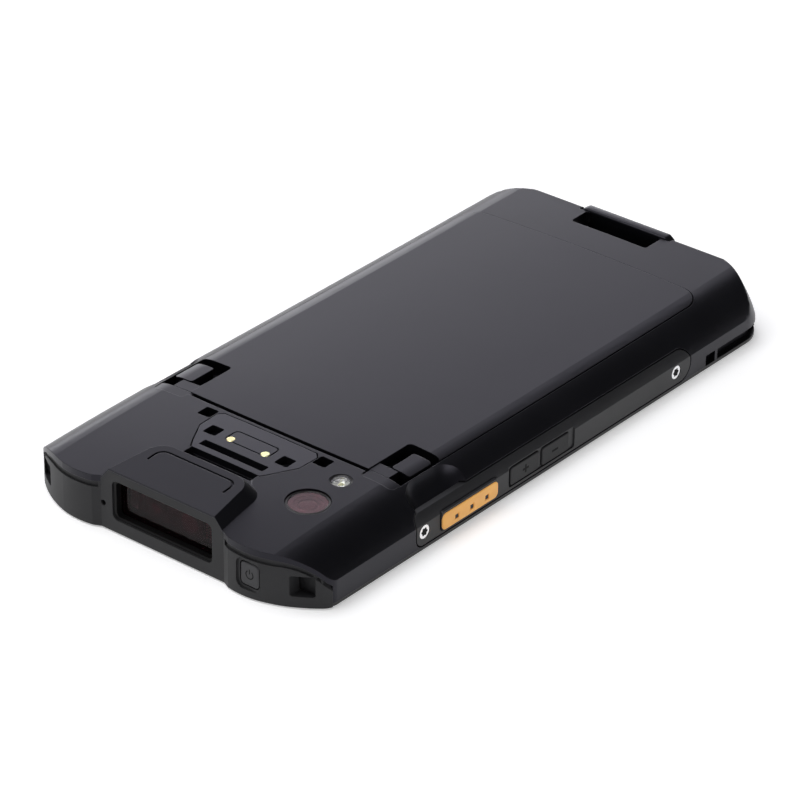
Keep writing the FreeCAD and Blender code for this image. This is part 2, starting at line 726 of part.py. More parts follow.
def latch(side):
    """One release latch: a capped tab on a stem that slides in the pack."""
    top = BACK.common(flat_block(
        LATCH_INNER_X, LATCH_OUTER_X, LATCH_NEAR_Y, LATCH_FAR_Y,
        CROWN_HEIGHT - CROWN_RISE - LATCH_NOTCH_DEPTH + LATCH_CLEARANCE, 20, 0.6))
    middle = (LATCH_NEAR_Y + LATCH_FAR_Y) / 2
    low = CROWN_HEIGHT - CROWN_RISE - LATCH_NOTCH_DEPTH + LATCH_CLEARANCE
    stem = box(
        LATCH_NOTCH_INNER_X - 3.0, LATCH_INNER_X + 0.5,
        middle - LATCH_STEM_WIDTH / 2, middle + LATCH_STEM_WIDTH / 2,
        low, low + LATCH_STEM_HEIGHT)
    piece = top.fuse(stem).removeSplitter()
    return piece if side > 0 else mirrored(piece)


def latch_tunnel(side):
    """The pocket in the pack that the latch stem slides in, at both ends of travel."""
    middle = (LATCH_NEAR_Y + LATCH_FAR_Y) / 2
    low = CROWN_HEIGHT - CROWN_RISE - LATCH_NOTCH_DEPTH + LATCH_CLEARANCE
    half = LATCH_STEM_WIDTH / 2 + 0.05
    block = box(
        LATCH_NOTCH_INNER_X - 3.0 - LATCH_TRAVEL - 1.6, LATCH_NOTCH_INNER_X + 1,
        middle - half, middle + half, low - 0.05, low + LATCH_STEM_HEIGHT + 0.05)
    return block if side > 0 else mirrored(block)


def latch_spring(side):
    """A folded leaf that pushes the latch outwards, in the end of its tunnel."""
    middle = (LATCH_NEAR_Y + LATCH_FAR_Y) / 2
    low = CROWN_HEIGHT - CROWN_RISE - LATCH_NOTCH_DEPTH + LATCH_CLEARANCE
    end = LATCH_NOTCH_INNER_X - 3.0 - LATCH_TRAVEL
    block = box(end - 1.5, end - 0.2, middle - 0.9, middle + 0.9, low + 0.05, low + LATCH_STEM_HEIGHT - 0.1)
    return block if side > 0 else mirrored(block)


def scoop(side):
    """The finger scoop in the sloping side beside one latch."""
    reach = (SCOOP_RADIUS - SCOOP_BITE) * math.sqrt(0.5)
    axis_x = SCOOP_X + reach
    axis_z = SCOOP_Z + reach
    barrel = Part.makeCylinder(SCOOP_RADIUS, SCOOP_LENGTH, V(axis_x, SCOOP_Y - SCOOP_LENGTH / 2, axis_z), V(0, 1, 0))
    ends = [
        Part.makeSphere(SCOOP_RADIUS, V(axis_x, SCOOP_Y - SCOOP_LENGTH / 2, axis_z)),
        Part.makeSphere(SCOOP_RADIUS, V(axis_x, SCOOP_Y + SCOOP_LENGTH / 2, axis_z)),
    ]
    shape = fuse_all([barrel] + ends)
    return shape if side > 0 else mirrored(shape)


def toe(grow=0.0):
    """The two toes under the housing's edge that the pack tilts about."""
    low = HINGE_Z - 3.2
    pieces = []
    for side in (-1, 1):
        middle = side * TOE_X
        pieces.append(box(
            middle - TOE_WIDTH / 2 - grow, middle + TOE_WIDTH / 2 + grow,
            PACK_FAR_Y - 1 - 2 * grow, PACK_FAR_Y + TOE_REACH + grow,
            low - 2.5 * grow, low + TOE_THICKNESS + grow))
    return pieces


def strap_slot():
    """The slot that a hand strap passes through, under the bar and out."""
    well = flat_block(
        -STRAP_SLOT_HALF, STRAP_SLOT_HALF, STRAP_SLOT_NEAR_Y, STRAP_BAR_NEAR_Y,
        STRAP_SLOT_FLOOR, 20, 0.8)
    under = box(
        -STRAP_SLOT_HALF, STRAP_SLOT_HALF, STRAP_BAR_NEAR_Y - 2, HALF_LENGTH + 3,
        STRAP_SLOT_FLOOR, STRAP_BAR_BOTTOM)
    seat = box(-STRAP_BAR_HALF, STRAP_BAR_HALF, STRAP_BAR_NEAR_Y, HALF_LENGTH + 3, STRAP_BAR_BOTTOM, 20)
    return fuse_all([well, under, seat])


def strap_ramp():
    """The sloping face on the pack side of the slot."""
    top = CROWN_HEIGHT - 0.2
    profile = Part.makePolygon([
        V(STRAP_RAMP_START_X, STRAP_SLOT_NEAR_Y - 1, top - STRAP_RAMP_DROP),
        V(STRAP_RAMP_START_X, STRAP_SLOT_NEAR_Y + STRAP_RAMP_RUN, top - STRAP_RAMP_DROP),
        V(STRAP_RAMP_START_X, STRAP_SLOT_NEAR_Y, top),
        V(STRAP_RAMP_START_X, STRAP_SLOT_NEAR_Y - 1, top),
        V(STRAP_RAMP_START_X, STRAP_SLOT_NEAR_Y - 1, top - STRAP_RAMP_DROP),
    ])
    return Part.Face(profile).extrude(V(STRAP_SLOT_HALF - STRAP_RAMP_START_X + 1, 0, 0))


def guide_slots():
    """The narrow slots that wrap the far corners, as rings cut into the side."""
    ring = plan_prism(GUIDE_BOTTOM, GUIDE_TOP, -2).cut(plan_prism(GUIDE_BOTTOM - 1, GUIDE_TOP + 1, GUIDE_DEPTH))
    keep = []
    for side in (-1, 1):
        x0, x1 = sorted((side * (HALF_WIDTH - 6.5), side * 60))
        keep.append(box(x0, x1, GUIDE_NEAR_Y, GUIDE_DIVIDER_Y, -5, 20))
        keep.append(box(x0, x1, GUIDE_DIVIDER_Y + GUIDE_DIVIDER, GUIDE_FAR_Y + 1, -5, 20))
    return ring.common(Part.makeCompound(keep))


def inner_space(z0, z1, inset):
    """The room inside the walls between two heights."""
    return plan_prism(z0, z1, inset)


def make_back():
    """The crowned body cut to its outline, with its far edge rounded."""
    body = back_loft().common(plan_prism(-1, 30))
    top = CROWN_HEIGHT + FAR_RISE
    radius = FAR_EDGE_ROUND
    corner = box(-60, 60, HALF_LENGTH - radius, HALF_LENGTH + 2, top - radius, top + 5)
    barrel = Part.makeCylinder(radius, 120, V(-60, HALF_LENGTH - radius, top - radius), V(1, 0, 0))
    return body.cut(corner.cut(barrel)).Solids[0]


BACK = make_back()
LIP_SHELL = back_loft(0.0, STRIP_LIP)


def make_rear_housing():
    """The back shell: one moulding with every hollow that the other pieces sit in."""
    shell = BACK.fuse(hump_block().common(plan_prism(-1, 30)))
    for x0, x1 in ((SEAT_X, HALF_WIDTH + 3), (-HALF_WIDTH - 3, -SEAT_X)):
        shell = shell.fuse(LIP_SHELL.common(lip_zone(x0, x1)))
    shell = shell.cut(box(-60, 60, -90, 90, -10, FRAME_HEIGHT))
    shell = shell.cut(bumper_space(0.0))
    cavity = inner_space(0, CAVITY_TOP, WALL + 1.0)
    cavity = cavity.cut(box(-60, 60, -90, FRAME_LINE_Y + BUMPER_DEPTH, -5, 30))
    shell = shell.cut(cavity)
    engine_room = box(
        -WINDOW_HALF_WIDTH - 2.0, WINDOW_HALF_WIDTH + 2.0, NEAR_END, ENGINE_FAR_Y + 0.2,
        WINDOW_BOTTOM - 0.5, WINDOW_TOP - 0.1)
    shell = shell.cut(engine_room)
    bay = pack_prism(FLOOR_Z + BAY_FLOOR, 30, SEAM_GAP, NEAR_GAP)
    shell = shell.cut(bay)
    for piece in toe(TOE_CLEARANCE):
        shell = shell.cut(piece)
    for side in (-1, 1):
        shell = shell.cut(notch(side))
        shell = shell.cut(scoop(side))
    for x0, x1 in ((SEAT_X, HALF_WIDTH + 3), (-HALF_WIDTH - 3, -SEAT_X)):
        shell = shell.cut(strip_zone(x0, x1, STRIP_GAP))
    for side in (-1, 1):
        for y in STRIP_SCREW_Y:
            hole = screw_clearance(y)
            shell = shell.cut(hole if side > 0 else mirrored(hole))
        x0, x1 = sorted((side * (SEAT_X - SWITCH_THICKNESS - 0.05), side * (SEAT_X + 1)))
        shell = shell.cut(box(x0, x1, TRIGGER_NEAR_Y - 0.1, VOLUME_FAR_Y + 0.1, VOLUME_BOTTOM + 0.5, VOLUME_TOP - 0.5))
    plate_floor = PLATE_FLOOR_Z
    shell = shell.cut(accessory_prism(plate_floor, 30, PLATE_GAP))
    for side in (-1, 1):
        shell = shell.cut(flat_block(
            side * OUTER_HOLE_X - SQUARE_HOLE / 2, side * OUTER_HOLE_X + SQUARE_HOLE / 2,
            OUTER_HOLE_Y - SQUARE_HOLE / 2, OUTER_HOLE_Y + SQUARE_HOLE / 2,
            CROWN_HEIGHT - HOLE_DEPTH, 30, 0.4))
    shell = shell.cut(flat_block(
        -OUTER_SLOT_LENGTH / 2, OUTER_SLOT_LENGTH / 2,
        OUTER_SLOT_Y - OUTER_SLOT_WIDTH / 2, OUTER_SLOT_Y + OUTER_SLOT_WIDTH / 2,
        CROWN_HEIGHT - HOLE_DEPTH, 30, 0.3))
    shell = shell.cut(Part.makeCylinder(CAMERA_R + 0.5, 30, V(CAMERA_X, CAMERA_Y, CAMERA_SEAT_Z)))
    module = CAMERA_MODULE_SIDE / 2 + 0.2
    shell = shell.cut(box(
        CAMERA_X - module, CAMERA_X + module, CAMERA_Y - module, CAMERA_Y + module,
        CAMERA_SEAT_Z - CAMERA_MODULE_HEIGHT - 0.2, CAMERA_SEAT_Z))
    shell = shell.cut(Part.makeCylinder(FLASH_R + 0.05, 30, V(FLASH_X, FLASH_Y, FLASH_SEAT_Z)))
    shell = shell.cut(strap_slot())
    shell = shell.fuse(strap_ramp().common(BACK))
    shell = shell.cut(guide_slots())
    shell = shell.cut(hump_groove())
    shell = shell.cut(box(
        -PORT_WIDTH / 2 - 0.1, PORT_WIDTH / 2 + 0.1,
        HALF_LENGTH - PORT_DEPTH, HALF_LENGTH + 2, DOCK_BOTTOM - 0.1, DOCK_BOTTOM + PORT_HEIGHT + 0.1))
    return shell


def hump_groove():
    """The shallow line with turned-down ends on top of the hump."""
    half = GROOVE_HALF_LENGTH
    outer = flat_block(-half, half, GROOVE_NEAR_Y - 6, GROOVE_FAR_Y, 5, 30, 2.2)
    inner = flat_block(
        -half + GROOVE_WIDTH, half - GROOVE_WIDTH,
        GROOVE_NEAR_Y - 7, GROOVE_FAR_Y - GROOVE_WIDTH, 5, 30, 1.8)
    line_block = outer.cut(inner).common(box(-60, 60, GROOVE_NEAR_Y, 0, 0, 30))
    sunk = hump_block().translated(V(0, 0, -GROOVE_DEPTH))
    return line_block.cut(sunk).cut(box(-60, 60, -90, 90, -5, HUMP_NEAR_HEIGHT - 1))


def surface_z(x, y):
    """The height of the back at one place, found on the section's own arcs."""
    probe = Part.makeLine(V(x, y, 0), V(x, y, 30))
    return BACK.common(probe).BoundBox.ZMax


PLATE_TOP_Z = surface_z(0, PLATE_NEAR_Y)
PLATE_FLOOR_Z = PLATE_TOP_Z - PLATE_DEPTH
CAMERA_FACE_Z = surface_z(CAMERA_X, CAMERA_Y) - CAMERA_RECESS
CAMERA_SEAT_Z = CAMERA_FACE_Z - CAMERA_GLASS_THICKNESS
FLASH_SEAT_Z = surface_z(FLASH_X, FLASH_Y) - FLASH_DEPTH


def make_front_frame():
    """The rim round the screen, which the terminal rests on."""
    bevel = Part.makeLoft([
        plan_outline(0, FRAME_INSET + FRAME_EDGE_CHAMFER),
        plan_outline(FRAME_EDGE_CHAMFER, FRAME_INSET),
    ], True, True)
    rim = bevel.fuse(plan_prism(FRAME_EDGE_CHAMFER, FRAME_HEIGHT, FRAME_INSET))
    half_x = LENS_WIDTH / 2 + LENS_CLEARANCE
    half_y = LENS_LENGTH / 2 + LENS_CLEARANCE
    lens_seat = flat_block(-half_x, half_x, -half_y, half_y, -1, DISPLAY_BOTTOM - 0.0, LENS_CORNER_R)
    through = flat_block(
        -half_x + LENS_LEDGE, half_x - LENS_LEDGE, -half_y + LENS_LEDGE, half_y - LENS_LEDGE,
        -1, 5, LENS_CORNER_R - 1)
    under_bumper = bumper_space(0.0).common(box(-60, 60, -90, 0, 0.4, 40)).cut(lens_zone())
    return rim.cut(lens_seat).cut(through).cut(under_bumper)


def make_touch_lens():
    """The glass over the screen, with the ear-piece slot near the scanner end."""
    lens = flat_block(
        -LENS_WIDTH / 2, LENS_WIDTH / 2, -LENS_LENGTH / 2, LENS_LENGTH / 2,
        LENS_RECESS, LENS_RECESS + LENS_THICKNESS, LENS_CORNER_R)
    slot = flat_block(
        -RECEIVER_SLOT_LENGTH / 2, RECEIVER_SLOT_LENGTH / 2,
        RECEIVER_SLOT_Y - RECEIVER_SLOT_WIDTH / 2, RECEIVER_SLOT_Y + RECEIVER_SLOT_WIDTH / 2,
        -1, 5, RECEIVER_SLOT_WIDTH / 2 - 0.01)
    return lens.cut(slot)


def make_midframe():
    """The metal plate that the display, board and shells are screwed to."""
    inset = WALL + 1.0 + INNER_CLEARANCE
    plate = inner_space(DISPLAY_TOP, MIDFRAME_TOP, inset)
    plate = plate.cut(box(-60, 60, -90, FRAME_LINE_Y + BUMPER_DEPTH + INNER_CLEARANCE, -5, 30))
    window = flat_block(-20, 20, NEAR_END + 29, 20, -1, 20, 3)
    plate = plate.cut(window)
    reach = SEAT_X - SWITCH_THICKNESS - 2 * INNER_CLEARANCE
    for x0, x1 in ((reach, HALF_WIDTH), (-HALF_WIDTH, -reach)):
        plate = plate.cut(box(x0, x1, TRIGGER_NEAR_Y - 1, VOLUME_FAR_Y + 1, -1, 20))
    return plate


def make_main_board():
    """The circuit board, cut back round the scan engine."""
    inset = WALL + 3.0
    board = inner_space(BOARD_BOTTOM, BOARD_TOP, inset)
    board = board.cut(box(-60, 60, -90, NEAR_END + 20.0, -5, 30))
    return board.cut(box(-60, 60, FAR_END - 9.0, 90, -5, 30))


def make_board_shields():
    """The pressed cans over the radio and processor chips."""
    cans = []
    side = HALF_BODY - 11.5
    near = NEAR_END + 29
    places = ((-side, -8, near, -24), (2, side - 2, near, -28), (-side, -6, -10, 18), (4, side, -4, 30))
    for x0, x1, y0, y1 in places:
        cans.append(flat_block(x0, x1, y0, y1, BOARD_TOP, BOARD_TOP + SHIELD_HEIGHT, 1.0))
    return Part.makeCompound(cans)


def make_top_bumper():
    """The soft moulding round the scan window with its two corner ears."""
    body = bumper_space(0.0).common(plan_prism(0.4, 30))
    body = body.common(box(-60, 60, -90, 90, 0.4, 40)).cut(lens_zone())
    inner = plan_prism(FRAME_HEIGHT + 0.2, 30, 3.2).cut(
        box(-BUMPER_FRAME_HALF, BUMPER_FRAME_HALF, -90, 90, -5, 40))
    body = body.cut(inner)
    high = back_loft(BUMPER_UNDERCUT + BUMPER_LIP_HEIGHT)
    step_ring = plan_prism(-1, 30, -3).cut(plan_prism(-2, 31, BUMPER_LIP_INSET)).cut(high)
    step_ring = step_ring.cut(box(-BUMPER_FRAME_HALF - 0.5, BUMPER_FRAME_HALF + 0.5, -90, 0, -5, 40))
    body = body.cut(step_ring)
    opening = front_block(
        -WINDOW_HALF_WIDTH, WINDOW_HALF_WIDTH, WINDOW_BOTTOM, WINDOW_TOP,
        -HALF_LENGTH - 2, ENGINE_FAR_Y, WINDOW_CORNER_R)
    body = body.cut(opening)
    step = front_block(
        -WINDOW_HALF_WIDTH - 1.2, WINDOW_HALF_WIDTH + 1.2, WINDOW_BOTTOM - 1.0, WINDOW_TOP + 0.8,
        WINDOW_FACE_Y, ENGINE_FAR_Y, WINDOW_CORNER_R)
    body = body.cut(step)
    body = body.cut(Part.makeCylinder(MIC_R, 4, V(MIC_X, FRAME_LINE_Y - 1, MIC_Z), V(0, 1, 0)))
    for side in (-1, 1):
        x0 = side * EAR_POCKET_X - EAR_POCKET_WIDTH / 2
        floor_y = -HALF_LENGTH + 3.0 + EAR_POCKET_REACH
        body = body.cut(front_block(
            x0, x0 + EAR_POCKET_WIDTH, EAR_POCKET_BOTTOM, EAR_POCKET_TOP, -HALF_LENGTH - 2, floor_y, 0.5))
    backing = []
    for side in (-1, 1):
        x0 = side * EAR_POCKET_X - EAR_POCKET_WIDTH / 2 - 1
        floor_y = -HALF_LENGTH + 3.0 + EAR_POCKET_REACH
        backing.append(box(x0, x0 + EAR_POCKET_WIDTH + 2, floor_y, floor_y + 1, 1.5, 8.5))
    solid_ears = bumper_space(0.0).common(plan_prism(0.4, 30))
    for block in backing:
        body = body.fuse(block.common(solid_ears))
    body = body.cut(power_pocket())
    return body


def power_button_shape(grow, y0, y1):
    """The power button's rounded square as a block along Y."""
    half_x = POWER_WIDTH / 2 + grow
    half_z = POWER_HEIGHT / 2 + grow
    return front_block(
        POWER_X - half_x, POWER_X + half_x, POWER_Z - half_z, POWER_Z + half_z, y0, y1, 0.9 + max(grow, 0))


def make_power_button():
    """The power button with its flange behind the bumper's face."""
    cap = power_button_shape(0, POWER_FACE_Y, POWER_FACE_Y + POWER_LENGTH)
    flange = power_button_shape(KEY_FLANGE, POWER_FACE_Y + POWER_LENGTH - 0.6, POWER_FACE_Y + POWER_LENGTH)
    key = cap.fuse(flange).removeSplitter()
    crown = [edge for edge in key.Edges if edge.BoundBox.YMax < POWER_FACE_Y + 0.01]
    return key.makeFillet(0.3, crown)


def power_pocket():
    """The way for the power button, with a shallow dish round it."""
    shaft = power_button_shape(KEY_GAP, -HALF_LENGTH - 2, POWER_FACE_Y + POWER_LENGTH + 1.2)
    relief = power_button_shape(
        KEY_FLANGE + KEY_GAP, POWER_FACE_Y + POWER_LENGTH - 0.65, POWER_FACE_Y + POWER_LENGTH + 1.2)
    dish = power_button_shape(0.9, -HALF_LENGTH - 2, POWER_FACE_Y + 0.1)
    return fuse_all([shaft, relief, dish])


def make_scan_window():
    """The tinted glass that the scanner looks through."""
    return front_block(
        -WINDOW_HALF_WIDTH - 1.0, WINDOW_HALF_WIDTH + 1.0, WINDOW_BOTTOM - 0.8, WINDOW_TOP + 0.6,
        WINDOW_FACE_Y, WINDOW_FACE_Y + WINDOW_THICKNESS, WINDOW_CORNER_R)


def make_window_gasket():
    """The soft frame between the glass and the scan engine."""
    back = WINDOW_FACE_Y + WINDOW_THICKNESS
    outer = front_block(
        -WINDOW_HALF_WIDTH, WINDOW_HALF_WIDTH, WINDOW_BOTTOM, WINDOW_TOP - 0.3,
        back, back + GASKET_THICKNESS, WINDOW_CORNER_R)
    inner = front_block(
        -WINDOW_HALF_WIDTH + GASKET_WIDTH, WINDOW_HALF_WIDTH - GASKET_WIDTH,
        WINDOW_BOTTOM + GASKET_WIDTH, WINDOW_TOP - 0.3 - GASKET_WIDTH,
        back - 1, back + 3, WINDOW_CORNER_R - 0.5)
    return outer.cut(inner)


def make_scan_engine():
    """The imager block with its camera lens and aimer."""
    front = ENGINE_NEAR_Y
    low = WINDOW_BOTTOM + 0.6
    body = box(
        -ENGINE_WIDTH / 2, ENGINE_WIDTH / 2, front + ENGINE_LENS_LENGTH, front + ENGINE_LENGTH,
        low, low + ENGINE_HEIGHT)
    middle = low + ENGINE_HEIGHT / 2
    lens = Part.makeCylinder(
        ENGINE_LENS_R, ENGINE_LENS_LENGTH + 1, V(ENGINE_LENS_X, front, middle), V(0, 1, 0))
    aimer = Part.makeCylinder(
        AIMER_R, ENGINE_LENS_LENGTH + 1, V(AIMER_X, front, middle), V(0, 1, 0))
    return fuse_all([body, lens, aimer])


def make_camera_window():
    """The round glass over the camera."""
    return Part.makeCylinder(CAMERA_R + 0.45, CAMERA_GLASS_THICKNESS, V(CAMERA_X, CAMERA_Y, CAMERA_SEAT_Z))


def make_camera_module():
    """The camera under its glass."""
    half = CAMERA_MODULE_SIDE / 2
    return box(
        CAMERA_X - half, CAMERA_X + half, CAMERA_Y - half, CAMERA_Y + half,
        CAMERA_SEAT_Z - CAMERA_MODULE_HEIGHT, CAMERA_SEAT_Z)


def make_flash_lens():
    """The clear lens over the flash."""
    top = surface_z(FLASH_X, FLASH_Y) - 0.1
    return Part.makeCylinder(FLASH_R, top - FLASH_SEAT_Z, V(FLASH_X, FLASH_Y, FLASH_SEAT_Z))


def make_accessory_plate():
    """The inset plate that carries the two contacts and the accessory pockets."""
    plate = BACK.common(accessory_prism(PLATE_FLOOR_Z, 30))
    half_x = ISLAND_LENGTH / 2
    half_y = ISLAND_WIDTH / 2
    ring = flat_block(-half_x, half_x, ISLAND_Y - half_y, ISLAND_Y + half_y, 0, 30, 1.2)
    ring = ring.cut(flat_block(
        -half_x + ISLAND_GROOVE, half_x - ISLAND_GROOVE,
        ISLAND_Y - half_y + ISLAND_GROOVE, ISLAND_Y + half_y - ISLAND_GROOVE, -1, 31, 0.9))
    ring = ring.cut(back_loft(ISLAND_GROOVE_DEPTH))
    plate = plate.cut(ring)
    half = SQUARE_HOLE / 2
    for side in (-1, 1):
        middle = side * INNER_HOLE_X
        plate = plate.cut(flat_block(
            middle - half, middle + half, INNER_HOLE_Y - half, INNER_HOLE_Y + half, 0, 30, 0.4))
        plate = plate.cut(Part.makeCylinder(CONTACT_R + 0.02, 30, V(side * CONTACT_X, CONTACT_Y, 0)))
        middle = side * OUTER_HOLE_X
        plate = plate.cut(box(
            middle - half - 0.1, middle + half + 0.1, OUTER_HOLE_Y - half - 0.1, OUTER_HOLE_Y + half + 0.1, 0, 30))
    half_slot = INNER_SLOT_LENGTH / 2
    plate = plate.cut(flat_block(
        -half_slot, half_slot,
        INNER_SLOT_Y - INNER_SLOT_WIDTH / 2, INNER_SLOT_Y + INNER_SLOT_WIDTH / 2, 0, 30, 0.3))
    return plate


def make_contact_pins():
    """The two gold contacts of the plate."""
    pins = []
    for side in (-1, 1):
        top = surface_z(side * CONTACT_X, CONTACT_Y) + 0.05
        pin = Part.makeCylinder(CONTACT_R, top - PLATE_FLOOR_Z, V(side * CONTACT_X, CONTACT_Y, PLATE_FLOOR_Z))
        rim = [edge for edge in pin.Edges if edge.BoundBox.ZMin > top - 0.01]
        pins.append(pin.makeFillet(0.2, rim))
    return Part.makeCompound(pins)


def make_battery_cover():
    """The pack's outer skin, notched for the latches and toed at the far end."""
    raised = back_loft(-PACK_PROUD)
    cover = raised.common(pack_prism(PACK_BOTTOM, 30))
    hollow = back_loft(COVER_THICKNESS).common(
        box(-CELL_WIDTH / 2 - 2, CELL_WIDTH / 2 + 2, PACK_NEAR_Y + 14, PACK_FAR_Y - 8, PACK_BOTTOM - 1, 30))
    cover = cover.cut(hollow)
    for side in (-1, 1):
        cover = cover.cut(notch(side))
        cover = cover.cut(latch_tunnel(side))
    return fuse_all([cover] + toe())


def make_battery_cell():
    """The lithium cell inside the cover."""
    near = PACK_NEAR_Y + 14.5
    top = min(PACK_BOTTOM + CELL_HEIGHT, CROWN_HEIGHT - CROWN_RISE - COVER_THICKNESS - 0.2)
    return flat_block(
        -CELL_WIDTH / 2, CELL_WIDTH / 2, near, near + CELL_LENGTH, PACK_BOTTOM, top, 2.0)


def make_battery_label():
    """The thin sheet that closes the underside of the pack."""
    half = CELL_WIDTH / 2 + 1.8
    return flat_block(
        -half, half, PACK_NEAR_Y + 14.2, PACK_FAR_Y - 8.2, PACK_BOTTOM - 0.15, PACK_BOTTOM, 2.0)


def make_terminals(z0, z1, width, length):
    """A row of spring terminals under the pack."""
    first = -(TERMINAL_COUNT - 1) * TERMINAL_PITCH / 2
    blades = []
    for index in range(TERMINAL_COUNT):
        middle = first + index * TERMINAL_PITCH
        blades.append(box(middle - width / 2, middle + width / 2, TERMINAL_Y, TERMINAL_Y + length, z0, z1))
    return blades


def make_strap_bar():
    """The bar across the far end that holds the hand strap."""
    bar = box(
        -STRAP_BAR_HALF, STRAP_BAR_HALF, STRAP_BAR_NEAR_Y, HALF_LENGTH,
        STRAP_BAR_BOTTOM, STRAP_BAR_TOP)
    long_edges = [edge for edge in bar.Edges if edge.BoundBox.XLength > 1 and edge.BoundBox.ZMin > STRAP_BAR_BOTTOM + 0.1]
    return bar.makeFillet(0.9, long_edges)


def make_dock_port():
    """The charging and data socket in the middle of the far end."""
    shell = front_block(
        -PORT_WIDTH / 2, PORT_WIDTH / 2, DOCK_BOTTOM, DOCK_BOTTOM + PORT_HEIGHT,
        HALF_LENGTH - PORT_DEPTH, HALF_LENGTH - FAR_NECK_DEPTH - 0.1, 1.2)
    mouth = front_block(
        -PORT_WIDTH / 2 + 0.4, PORT_WIDTH / 2 - 0.4, DOCK_BOTTOM + 0.4, DOCK_BOTTOM + PORT_HEIGHT - 0.4,
        HALF_LENGTH - PORT_DEPTH + 0.8, HALF_LENGTH + 2, 0.85)
    tongue = box(
        -PORT_WIDTH / 2 + 1.5, PORT_WIDTH / 2 - 1.5, HALF_LENGTH - PORT_DEPTH, HALF_LENGTH - 1.4,
        DOCK_BOTTOM + PORT_HEIGHT / 2 - 0.3, DOCK_BOTTOM + PORT_HEIGHT / 2 + 0.3)
    return shell.cut(mouth).fuse(tongue)


def make_speaker():
    """The loudspeaker beside the scan engine, on the board side."""
    near = NEAR_END + 21.5
    return flat_block(-SPEAKER_WIDTH - 12, -12, near, near + SPEAKER_LENGTH - 1.5, BOARD_TOP, BOARD_TOP + 1.2, 1.0)


def make_vibrator():
    """The small vibration motor on the board."""
    return Part.makeCylinder(VIBRATOR_R, 1.1, V(HALF_BODY - 17.5, PACK_FAR_Y - 11.4, BOARD_TOP))


def make_housing_screws():
    """Four screws in the bay floor that hold the housing to the midframe."""
    screws = []
    for x in (-HOUSING_SCREW_X, HOUSING_SCREW_X):
        for y in HOUSING_SCREW_Y:
            top = FLOOR_Z + BAY_FLOOR
            head = Part.makeCylinder(1.5, 0.5, V(x, y, top - 0.55))
            shank = Part.makeCylinder(0.7, top - MIDFRAME_TOP - 0.5, V(x, y, MIDFRAME_TOP))
            screws.append(head.fuse(shank))
    return screws


def make_display_panel():
    """The display under the lens."""
    return flat_block(
        -DISPLAY_WIDTH / 2, DISPLAY_WIDTH / 2, -DISPLAY_LENGTH / 2 + 2, DISPLAY_LENGTH / 2 + 2,
        DISPLAY_BOTTOM, DISPLAY_TOP, 1.0)


def make_front_camera():
    """The front camera beside the ear-piece."""
    return Part.makeCylinder(FRONT_CAMERA_R, DISPLAY_THICKNESS, V(FRONT_CAMERA_X, RECEIVER_SLOT_Y + 1.5, DISPLAY_BOTTOM))


def make_receiver():
    """The ear-piece speaker behind its slot in the lens."""
    half = RECEIVER_SLOT_LENGTH / 2 + 1
    return flat_block(-half, half, RECEIVER_SLOT_Y - 1.4, RECEIVER_SLOT_Y + 2.2, DISPLAY_BOTTOM, DISPLAY_TOP, 0.8)


def build_parts():
    """Every named piece with its shape."""
    housing = make_rear_housing()
    screws = make_housing_screws()
    for screw in screws:
        middle = screw.BoundBox.Center
        housing = housing.cut(Part.makeCylinder(1.52, 3, V(middle.x, middle.y, FLOOR_Z + BAY_FLOOR - 0.55)))
        housing = housing.cut(Part.makeCylinder(0.72, 9, V(middle.x, middle.y, 0)))
    board = make_main_board()
    for screw in screws:
        middle = screw.BoundBox.Center
        board = board.cut(Part.makeCylinder(1.2, 9, V(middle.x, middle.y, 0)))
    seat_blades = make_terminals(FLOOR_Z + BAY_FLOOR - 0.6, FLOOR_Z + BAY_FLOOR + 0.05, TERMINAL_WIDTH, TERMINAL_LENGTH)
    for blade in seat_blades:
        housing = housing.cut(blade)
    pack_blades = make_terminals(PACK_BOTTOM - 0.1, PACK_BOTTOM + 0.6, TERMINAL_WIDTH, TERMINAL_LENGTH)
    strips = {
        "right_key_strip": key_strip(RIGHT_KEYS, True),
        "left_key_strip": mirrored(key_strip(LEFT_KEYS, False)),
    }
    cover = make_battery_cover()
    cell = make_battery_cell()
    label = make_battery_label()
    for blade in pack_blades:
        cover = cover.cut(blade)
        cell = cell.cut(blade)
        label = label.cut(blade)
    parts = {
        "rear_housing": housing,
        "front_frame": make_front_frame(),
        "touch_lens": make_touch_lens(),
        "display_panel": make_display_panel(),
        "midframe": make_midframe(),
        "main_board": board,
        "board_shields": make_board_shields(),
        "top_bumper": make_top_bumper(),
        "scan_window": make_scan_window(),
        "window_gasket": make_window_gasket(),
        "scan_engine": make_scan_engine(),
        "camera_window": make_camera_window(),
        "camera_module": make_camera_module(),
        "flash_lens": make_flash_lens(),
        "accessory_plate": make_accessory_plate(),
        "contact_pins": make_contact_pins(),
        "battery_cover": cover,
        "battery_cell": cell,
        "battery_sheet": label,
        "battery_contacts": Part.makeCompound(pack_blades),
        "bay_terminals": Part.makeCompound(seat_blades),
        "latch_left": latch(-1),
        "latch_right": latch(1),
        "latch_springs": Part.makeCompound([latch_spring(-1), latch_spring(1)]),
        "power_button": make_power_button(),
        "strap_bar": make_strap_bar(),
        "usb_port": make_dock_port(),
        "speaker": make_speaker(),
        "receiver": make_receiver(),
        "front_camera": make_front_camera(),
        "vibration_motor": make_vibrator(),
        "housing_screws": Part.makeCompound(screws),
        "right_key_switches": key_switches(RIGHT_KEYS),
        "left_key_switches": mirrored(key_switches(LEFT_KEYS)),
    }
    parts.update(strips)
    for name, values in RIGHT_KEYS.items():
        parts[name] = side_key(*values)
    for name, values in LEFT_KEYS.items():
        parts[name] = mirrored(side_key(*values))
    screws = [strip_screw(y) for y in STRIP_SCREW_Y]
    parts["key_strip_screws"] = Part.makeCompound(screws + [mirrored(screw) for screw in screws])
    return parts


